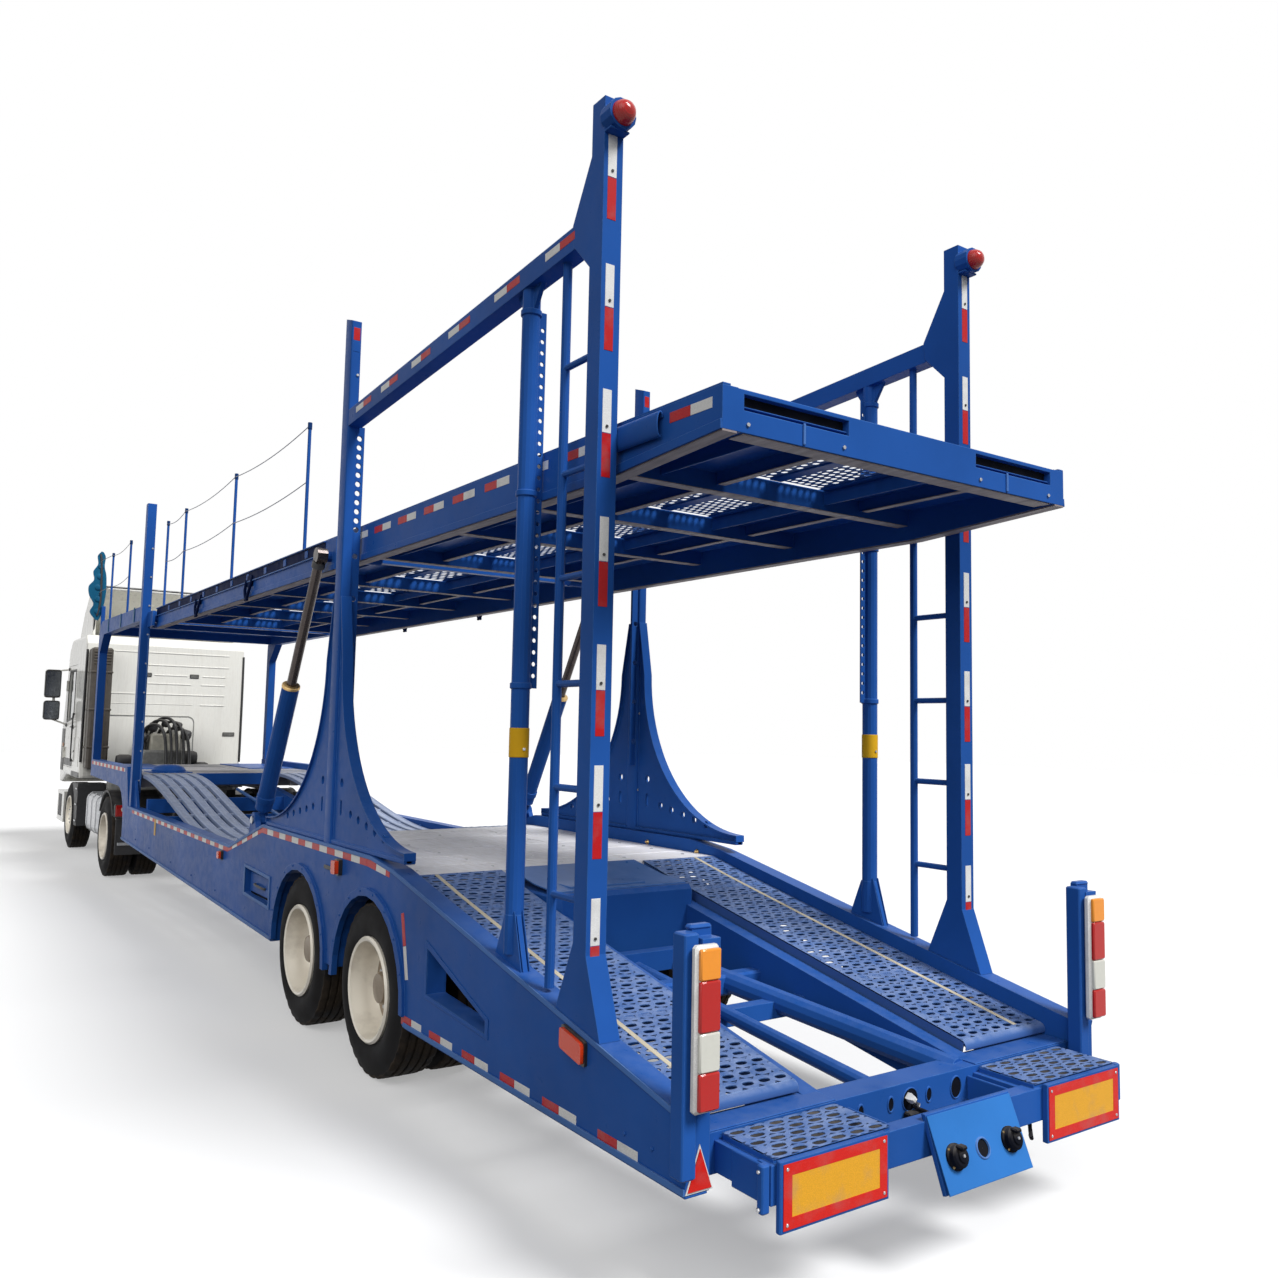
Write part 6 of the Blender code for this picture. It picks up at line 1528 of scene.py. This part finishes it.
class TRANSPORTER_OT_tractor(Step):
    """Lamps, mudflaps, tank straps, lids, steps, grille and glazing trim of the tractor and its cab"""
    bl_idname = "transporter.tractor"
    bl_label = "Tractor and cab details"

    def build(self):
        frame_bits, cab = Piece(), Piece()
        for sign in SIGNS:
            # rear lamp cluster: body, red lens, two round clear lamps
            frame_bits.fit(sign, (
                (0, block, (11.9, 0.98, 0.83), (11.955, 1.245, 0.995), 0.012, 1),
                (1, block, (11.882, 0.99, 0.84), (11.905, 1.235, 0.985), 0.01, 1),
                *((2, turned, [(0.034, 0.0), (0.033, 0.008), (0.022, 0.014), (0.0005, 0.016)],
                    (11.882, y, 0.93), (-1, 0, 0), 18) for y in (1.05, 1.14)),
                (0, block, (11.93, 1.0, 0.74), (11.975, 1.06, 0.84), 0.005, 2),
                # mudflap with a pale bar along its foot, and the carrier bar
                (0, block, (12.05, 0.66, 0.34), (12.065, 1.2, 0.8), 0.006, 1),
                (3, block, (12.035, 0.7, 0.46), (12.05, 1.17, 0.5), 0.004, 1),
                (0, bar, (12.08, 0.46, 0.8), (12.08, 1.2, 0.8), 0.016, 10)))
            # beads along the mudguard's edges
            t = np.radians(np.linspace(150, 30, 30))
            for y in (0.622, 1.218):
                path = path_of(DRIVE_X + 0.597 * np.cos(t), sign * y, TRACTOR_TYRE + 0.597 * np.sin(t))
                frame_bits.add(carried(ring(0.01, 8), path, (0, 1, 0)), 0)
            # steps: treads and a bright edge
            for z in (0.47, 0.72, 0.96):
                frame_bits.fit(sign, (
                    (0, block, (15.515, 0.83, z), (15.5197, 1.17, z + 0.05), 0.002, 1),
                    (0, block, (15.55, 1.2003, z), (15.74, 1.206, z + 0.05), 0.003, 0),
                    (3, block, (15.56, 1.206, z + 0.015), (15.73, 1.2095, z + 0.035), 0.0015, 0)))
            # headlamps, fog lamps and corner steps of the bumper
            frame_bits.fit(sign, (
                (0, block, (17.795, 0.78, 0.62), (17.812, 1.15, 0.8), 0.01, 1),
                (2, block, (17.806, 0.8, 0.64), (17.822, 1.13, 0.785), 0.01, 1),
                *((3, turned, [(0.056, 0.0), (0.056, 0.006), (0.05, 0.008), (0.03, 0.004), (0.0005, 0.003)],
                    (17.8195, y, 0.712), (1, 0, 0), 20) for y in (0.87, 1.02)),
                (0, block, (17.795, 0.55, 0.42), (17.812, 0.95, 0.54), 0.01, 1),
                (2, turned, [(0.045, 0.0), (0.045, 0.01), (0.03, 0.016), (0.0005, 0.018)],
                    (17.808, 0.82, 0.48), (1, 0, 0), 20),
                (0, block, (17.3, 1.2003, 0.44), (17.62, 1.207, 0.8), 0.006, 0)))
        # fuel tank: straps and cap
        for x in (13.95, 14.35, 14.75):
            loop = np.array([(x, 0.462, 0.999), (x, 1.1, 0.984), (x, 1.145, 0.94), (x, 1.164, 0.88),
                (x, 1.164, 0.52), (x, 1.145, 0.455), (x, 1.1, 0.416), (x, 0.462, 0.416)])
            frame_bits.add(carried(RECT * (0.004, 0.024), loop, (1, 0, 0)), 4)
        frame_bits.fit(1, (
            (3, turned, [(0.062, 0.0), (0.062, 0.03), (0.055, 0.045), (0.02, 0.05), (0.0005, 0.05)],
                (14.15, 0.98, 0.978), (0, 0.15, 1), 24),
            # battery box: lid with a lip, two latches, vents
            (0, block, (13.735, -1.15, 0.915), (14.815, -0.47, 0.972), 0.014, 0),
            *((3, block, (x, -1.156, 0.83), (x + 0.05, -1.149, 0.93), 0.005, 2) for x in (14.0, 14.55)),
            *((4, block, (14.12 + 0.05 * k, -1.146, 0.56), (14.145 + 0.05 * k, -1.1405, 0.74), 0.003, 2)
                for k in range(6))))
        # cross pipes, air vessels and hoses between the frame's rails
        for x, y in ((13.15, 0.2), (13.15, -0.2), (14.2, 0.2), (14.2, -0.2)):
            vessel = [(0.0005, -0.36), (0.06, -0.35), (0.105, -0.31), (0.115, -0.26), (0.115, 0.26),
                (0.105, 0.31), (0.06, 0.35), (0.0005, 0.36)]
            frame_bits.add(turned(vessel, (x, y, 0.64), (1, 0, 0), 24), 0)
        frame_bits.fit(1, (
            (0, bar, (12.95, 0, 0.6), (15.86, 0, 0.74), 0.045, 16),
            # plate with the hoses' unions, and the block behind the cab that they leave
            (0, block, (14.42, -0.455, 0.9703), (14.66, 0.455, 1.0), 0.006, 1),
            (0, block, (15.395, -0.03, 1.46), (15.486, 0.43, 1.585), 0.008, 1)))
        for k, (y, reach, radius, length) in enumerate(((0.16, 0.06, 0.025, 1.87), (0.08, 0.13, 0.022, 2.01),
                (0.0, 0.17, 0.025, 2.09), (-0.1, 0.11, 0.022, 1.97), (-0.18, 0.02, 0.025, 1.79)), 1):
            # air and oil hoses: up out of the box behind the cab, over in an arch and down to the plate
            run = [(15.45, y + 0.21, 1.56), (15.445, y + 0.2, 1.74 + reach), (15.33, y + 0.12, 1.91 + reach),
                (15.14, y + 0.01, 1.93 + reach), (14.98, y - 0.06, 1.78 + reach), (14.87, y - 0.08, 1.48),
                (14.74, y - 0.05, 1.2), (14.56, y, 1.025)]
            path = smooth_path(run, 6)
            hose = Piece().add(tube_path(run, radius, 12)).make(f"cab_hose_{k}", "tractor", "dark_plastic",
                "plastic")
            frame_bits.add(turned([(0.0005, 0.055), (radius + 0.008, 0.055), (radius + 0.01, 0.0),
                (0.0005, 0.0)], (14.545, y, 0.9995), (0.35, 0, 1), 12), 3)
        frame_bits.fit(1, (
            *((0, turned, [(0.0005, -size), (size * 0.7, -size * 0.9), (size, -size * 0.5),
                (size, size * 0.5), (size * 0.7, size * 0.9), (0.0005, size)], (15.36, y, z), (0.2, 1, 0.3),
                16) for y, z, size in ((0.2, 1.96, 0.075), (0.02, 2.02, 0.06), (-0.16, 1.98, 0.075),
                (-0.3, 1.84, 0.085), (0.34, 1.8, 0.07))),
            (7, block, (15.26, -0.2, 1.5), (15.44, 0.24, 1.86), 0.03, 0),
            (5, block, (14.98, -0.2, 0.98), (15.36, 0.42, 1.6), 0.03, 0),
            (5, block, (15.0, 0.46, 0.98), (15.3, 0.84, 1.24), 0.03, 0)))
        for y, z in ((-0.34, 1.48), (-0.52, 1.3), (0.62, 1.42)):
            frame_bits.fit(1, (
                (0, turned, [(0.0005, -0.12), (0.09, -0.11), (0.11, -0.06), (0.11, 0.06), (0.09, 0.11),
                    (0.0005, 0.12)], (15.25, y, z), (0, 1, 0), 22),
                (0, block, (15.2, y - 0.06, 0.97), (15.32, y + 0.06, z - 0.05), 0.01, 2)))
        # plain number plate and the lower grille
        frame_bits.fit(1, (
            (6, block, (17.8, -0.26, 0.46), (17.806, 0.26, 0.57), 0.003, 1),
            *((0, block, (17.798, -0.5, 0.62 + 0.06 * k), (17.812, 0.5, 0.655 + 0.06 * k), 0.008, 1)
                for k in range(3))))
        frame_bits.make("tractor_fittings", "tractor", "dark_metal",
            "chassis lens_red clear steel tank grey white beige")

        # rear wall of the cab: beads, arched recess, vents, side seal
        def bead(z, y0, y1, deep=0.006, half=0.01):
            cab.add(block((15.4997 - deep, y0, z - half), (15.4997, y1, z + half), deep * 0.9, 1), 0)

        for z, y0, y1 in ((3.16, -0.95, 0.8), (2.96, -0.95, 0.3), (2.66, -0.36, 0.3), (2.66, -0.9, -0.52),
                (2.49, -0.9, 0.84), (2.33, -0.9, -0.52), (2.8, -0.9, -0.54), (2.8, -0.3, 0.2)):
            bead(z, y0, y1)
        bead(2.33, -0.4, 0.84, 0.004, 0.004)
        t = np.linspace(0, np.pi / 2, 9)
        arch = np.concatenate([[(0.84, 2.14)], np.stack([-0.34 - 0.1 * np.sin(t), 2.04 + 0.1 * np.cos(t)], 1),
            [(-0.44, 1.5)], [(-0.52, 1.36)]])
        cab.add(carried(RECT * (0.006, 0.005), path_of(15.496, arch[:, 0], arch[:, 1]), (1, 0, 0)), 3)
        for y0, y1, z in ((0.24, 0.36, 2.8), (-0.48, -0.34, 2.8), (-1.09, -0.9, 1.86)):
            cab.fit(1, (
                (1, block, (15.486, y0, z - 0.032), (15.4997, y1, z + 0.032), 0.005, 1),
                *((3, block, (15.482, y0 + 0.01, z - 0.022 + 0.016 * k),
                    (15.4875, y1 - 0.01, z - 0.015 + 0.016 * k), 0.002, 1) for k in range(3))))
        for sign in SIGNS:
            # dark corner seal down the rear edges, drip rail, pillar line
            seal = [(15.512, 1.185, 3.16), (15.508, 1.19, 2.6), (15.508, 1.192, 2.0), (15.508, 1.192, 1.4)]
            cab.fit(sign, (
                (1, tube_path, seal, 0.019, 8),
                (1, block, (15.56, 1.2, 1.15), (16.36, 1.208, 1.235), 0.006, 0),
                (0, block, (15.72, 1.2, 1.32), (16.3, 1.2045, 1.78), 0.004, 0),
                (1, turned, [(0.02, 0.0), (0.02, 0.008), (0.0005, 0.009)], (16.22, 1.2045, 1.55), (0, 1, 0),
                    14),
                *((0, block, (15.66, 1.2003, z), (16.3, 1.2045, z + 0.022), 0.003, 0) for z in (2.05, 2.62)),
                (1, tube_path, [(16.345, 1.205, 1.4), (16.345, 1.228, 1.44), (16.345, 1.228, 2.1),
                    (16.345, 1.205, 2.14)], 0.012, 8),
                # front corner: air deflector, marker on the roof
                (1, block, (17.4, 1.2003, 1.2), (17.7, 1.207, 1.9), 0.005, 2),
                (2, block, (17.44, 1.206, 1.6), (17.52, 1.214, 1.66), 0.006, 0),
                (2, block, (17.24, 0.72, 3.355), (17.335, 0.92, 3.395), 0.012, 1),
                # side deflector's grey lower edge and catwalk rail behind the hood
                (1, tube_path, [(15.78, 1.08, 3.44), (15.78, 1.08, 3.92), (15.86, 1.08, 4.14),
                    (15.98, 1.06, 4.17)], 0.014, 8)))
        # windscreen seal, wipers, visor, grille bars on the front
        top, low = np.array((17.4, 3.24)), np.array((17.7, 2.18))
        down = (low - top) / np.linalg.norm(low - top)
        out = np.array((-down[1], down[0]))

        def on_screen(run, off):
            point = top + down * run + out * off
            return point[0], point[1]
        for run in (0.085, 1.035):
            x, z = on_screen(run, 0.006)
            cab.add(carried(rounded(0.008, 0.014, 0.006, 2),
                np.array([(x, -1.06, z), (x, 0, z), (x, 1.06, z)])), 1)
        for sign in SIGNS:
            (xa, za), (xb, zb) = on_screen(0.085, 0.006), on_screen(1.035, 0.006)
            cab.add(carried(rounded(0.008, 0.014, 0.006, 2),
                np.array([(xa, sign * 1.065, za), ((xa + xb) / 2, sign * 1.065, (za + zb) / 2),
                (xb, sign * 1.065, zb)]), (0, 1, 0)), 1)
        for y in (0.75, 0.0, -0.75):
            (xa, za), (xb, zb) = on_screen(1.0, 0.014), on_screen(0.5, 0.014)
            cab.add(tube_path([(xa, y, za), ((xa + xb) / 2, y - 0.16, (za + zb) / 2), (xb, y - 0.28, zb)],
                0.008, 6), 1)
            (xc, zc), (xd, zd) = on_screen(0.78, 0.01), on_screen(0.24, 0.01)
            cab.add(tube_path([(xc, y - 0.12, zc), ((xc + xd) / 2, y - 0.25, (zc + zd) / 2),
                (xd, y - 0.36, zd)], 0.007, 6), 1)
        x, z = on_screen(0.03, 0.05)
        cab.add(carried(rounded(0.018, 0.07, 0.012, 2),
            np.array([(x, -1.1, z), (x + 0.012, 0, z), (x, 1.1, z)])), 4)
        for k in range(6):
            cab.fit(1, (
                (1, block, (17.778, -0.86, 1.16 + 0.115 * k), (17.793, 0.86, 1.225 + 0.115 * k), 0.01, 1),
                (3, block, (17.79, -0.84, 1.182 + 0.115 * k), (17.798, 0.84, 1.2 + 0.115 * k), 0.003, 1)))
        cab.fit(1, (
            (3, block, (17.772, -0.92, 1.9), (17.786, 0.92, 1.935), 0.006, 1),
            # hood: stiffening lip along its rear edge
            (1, tube_path, [(15.8, 1.09, 4.195), (15.8, 0.5, 4.2), (15.8, -0.5, 4.2), (15.8, -1.09, 4.195)],
                0.016, 8)))
        cab.make("cab_fittings", "cab", "white_cab", "cab plastic amber grey visor")

        # intake stack: ribs and its louvred head
        stack = Piece()
        stack.fit(1, (
            *((0, block, (15.168, 0.885, 2.92 + 0.045 * k), (15.18, 1.135, 2.945 + 0.045 * k), 0.004, 1)
                for k in range(5)),
            *((0, block, (15.17, 0.852, z), (15.496, 1.168, z + 0.035), 0.008, 2) for z in (1.62, 2.2, 2.78)),
            *((0, block, (15.172, y - 0.01, 1.36), (15.1797, y + 0.01, 2.9), 0.004, 2)
                for y in (0.94, 1.01, 1.08))))
        stack.make("stack_ribs", "cab", "dark_plastic", "stack")

        for side, sign in SIDES:
            door = Piece()
            x0, x1, y = 16.386, 17.334, 1.2
            # window seal, handle, sill line, mirror housings
            pane = np.array([(x0 + 0.1, 2.1), (x1 - 0.08, 2.02), (x1 - 0.08, 2.5), (x1 - 0.16, 2.86),
                (x0 + 0.1, 2.86)])
            middle = pane.mean(0)
            wider = middle + (pane - middle) * 1.045
            door.add(holed(wider, [middle + (pane - middle) * 0.985], sign * (y - 0.004), sign * 0.01), 1)
            door.fit(sign, (
                (1, block, (x0 + 0.06, y, 1.9), (x0 + 0.26, y + 0.008, 1.965), 0.004, 0),
                (1, tube_path, [(x0 + 0.07, y, 1.93), (x0 + 0.09, y + 0.026, 1.935),
                    (x0 + 0.22, y + 0.026, 1.935), (x0 + 0.25, y, 1.93)], 0.01, 8),
                (1, block, (x0 + 0.02, y, 1.3), (x1 - 0.02, y + 0.006, 1.42), 0.005, 0),
                (0, block, (x0 + 0.04, y, 1.74), (x1 - 0.04, y + 0.005, 1.762), 0.004, 0)))
            x = x1 - 0.06
            for z0, z1 in ((2.42, 2.88), (2.05, 2.36)):
                shell = rounded(0.12, (z1 - z0) / 2 + 0.006, 0.045, 4)
                rows = [(x + 0.06, 0.72), (x + 0.052, 0.92), (x + 0.03, 1.0), (x - 0.052, 1.0),
                    (x - 0.058, 0.97), (x - 0.058, 0.9), (x - 0.054, 0.88)]
                corners = np.concatenate([path_of(px, sign * (1.445 + shell[:, 0] * k),
                    (z0 + z1) / 2 + shell[:, 1] * k) for px, k in rows])
                face = list(range(len(shell)))
                door.add((corners, quads(len(rows), len(shell), False, True) + [face]), 1)
                door.add((corners[-len(shell):], [face]), 2)
            for z in (2.9, 1.96):
                door.add(turned([(0.03, 0.0), (0.026, 0.014), (0.018, 0.02), (0.015, 0.022)],
                    (x, sign * y, z), (0, sign, 0), 16), 1)
            door.make(f"door_fittings_{side}", f"door_{side}", "dark_plastic", "cab plastic mirror")


def seen_mix(nodes, links, thrown, seen, target):
    """One shader for the light a surface throws, another for what camera, mirror and glass rays see of it."""
    rays = nodes.new("ShaderNodeLightPath")
    total = None
    for key in ("Is Camera Ray", "Is Glossy Ray", "Is Transmission Ray"):
        if total is None:
            total = rays.outputs[key]
            continue
        larger = nodes.new("ShaderNodeMath")
        larger.operation = "MAXIMUM"
        links.new(total, larger.inputs[0])
        links.new(rays.outputs[key], larger.inputs[1])
        total = larger.outputs[0]
    mix = nodes.new("ShaderNodeMixShader")
    links.new(total, mix.inputs["Fac"])
    links.new(thrown, mix.inputs[1])
    links.new(seen, mix.inputs[2])
    links.new(mix.outputs[0], target)


class TRANSPORTER_OT_stage(Step):
    """Pale floor, soft light and the camera at the photograph's angle"""
    bl_idname = "transporter.stage"
    bl_label = "Stage"

    def build(self):
        scene = bpy.context.scene
        scene.view_settings.view_transform = "Standard"
        eye = Vector(CAMERA_AT) - Vector((MIDDLE_X, 0.0, 0.0))
        yaw, pitch, roll = CAMERA_YAW, CAMERA_PITCH, CAMERA_ROLL
        ahead = Vector((math.cos(pitch) * math.cos(yaw), math.cos(pitch) * math.sin(yaw), math.sin(pitch)))
        right = Vector((math.sin(yaw), -math.cos(yaw), 0.0))
        up = right.cross(ahead)
        c, s = math.cos(roll), math.sin(roll)
        right, up = c * right + s * up, c * up - s * right
        camera = bpy.data.objects.new("camera", bpy.data.cameras.new("camera"))
        camera.data.sensor_width, camera.data.lens = SENSOR, FOCAL_PIXELS / PHOTO_PIXELS * SENSOR
        camera.data.clip_end = 200.0
        camera.matrix_world = Matrix.Translation(eye) @ Matrix((right, up, -ahead)).transposed().to_4x4()
        scene.collection.objects.link(camera)
        scene.camera = camera

        mesh = bpy.data.meshes.new("floor")
        mesh.from_pydata([(-60, -60, 0), (60, -60, 0), (60, 60, 0), (-60, 60, 0)], [], [(0, 1, 2, 3)])
        floor = bpy.data.objects.new("floor", mesh)
        scene.collection.objects.link(floor)
        paint = bpy.data.materials.new("floor_paint")
        paint.use_nodes = True
        nodes, links = paint.node_tree.nodes, paint.node_tree.links
        shader = nodes["Principled BSDF"]
        shader.inputs["Base Color"].default_value = (0.06, 0.06, 0.065, 1)
        shader.inputs["Roughness"].default_value = 0.9
        pale = nodes.new("ShaderNodeBsdfDiffuse")
        pale.inputs["Color"].default_value = (0.96, 0.96, 0.96, 1)
        glow = nodes.new("ShaderNodeEmission")
        glow.inputs["Strength"].default_value = 0.97
        lighter = nodes.new("ShaderNodeMixShader")
        lighter.inputs["Fac"].default_value = 0.35
        links.new(pale.outputs[0], lighter.inputs[1])
        links.new(glow.outputs[0], lighter.inputs[2])
        seen_mix(nodes, links, shader.outputs[0], lighter.outputs[0],
            nodes["Material Output"].inputs["Surface"])
        floor.data.materials.append(paint)

        world = bpy.data.worlds.new("studio")
        scene.world = world
        world.use_nodes = True
        nodes, links = world.node_tree.nodes, world.node_tree.links
        sky = nodes["Background"]
        sky.inputs["Color"].default_value = (1.0, 1.0, 1.0, 1)
        sky.inputs["Strength"].default_value = SKY_LIGHT
        plain = nodes.new("ShaderNodeBackground")
        plain.inputs["Color"].default_value = (1, 1, 1, 1)
        plain.inputs["Strength"].default_value = SKY_SEEN
        seen_mix(nodes, links, sky.outputs[0], plain.outputs[0], nodes["World Output"].inputs["Surface"])

        for name, towards, strength, soft in SUNS:
            lamp = bpy.data.lights.new(name, "SUN")
            lamp.energy, lamp.angle = strength, soft
            lamp_at = bpy.data.objects.new(name, lamp)
            lamp_at.location = Vector(towards) * 30
            lamp_at.rotation_euler = Vector(towards).to_track_quat("Z", "Y").to_euler()
            scene.collection.objects.link(lamp_at)


STEPS = (TRANSPORTER_OT_stage, TRANSPORTER_OT_finishes, TRANSPORTER_OT_tape, TRANSPORTER_OT_tracks,
    TRANSPORTER_OT_slats, TRANSPORTER_OT_wheels, TRANSPORTER_OT_lamps, TRANSPORTER_OT_railing,
    TRANSPORTER_OT_posts, TRANSPORTER_OT_decks, TRANSPORTER_OT_chassis, TRANSPORTER_OT_panels,
    TRANSPORTER_OT_cylinders, TRANSPORTER_OT_tractor)


class TRANSPORTER_PT_panel(bpy.types.Panel):
    """Lists the dressing's settings and steps"""
    bl_idname = "TRANSPORTER_PT_panel"
    bl_label = "Transporter"
    bl_space_type = "VIEW_3D"
    bl_region_type = "UI"
    bl_category = "Transporter"

    def draw(self, context):
        for group in (context.scene.transporter_sizes, context.scene.transporter_colours):
            for key in group.__annotations__:
                self.layout.prop(group, key)
        for step in STEPS:
            self.layout.operator(step.bl_idname)


CLASSES = (TransporterColours, TransporterSizes, *STEPS, TRANSPORTER_PT_panel)


def register():
    for made in CLASSES:
        bpy.utils.register_class(made)
    bpy.types.Scene.transporter_colours = bpy.props.PointerProperty(type=TransporterColours)
    bpy.types.Scene.transporter_sizes = bpy.props.PointerProperty(type=TransporterSizes)


def unregister():
    del bpy.types.Scene.transporter_sizes, bpy.types.Scene.transporter_colours
    for made in reversed(CLASSES):
        bpy.utils.unregister_class(made)


def main():
    register()
    for step in STEPS:
        group, name = step.bl_idname.split(".")
        getattr(getattr(bpy.ops, group), name)()


if __name__ == "__main__":
    main()
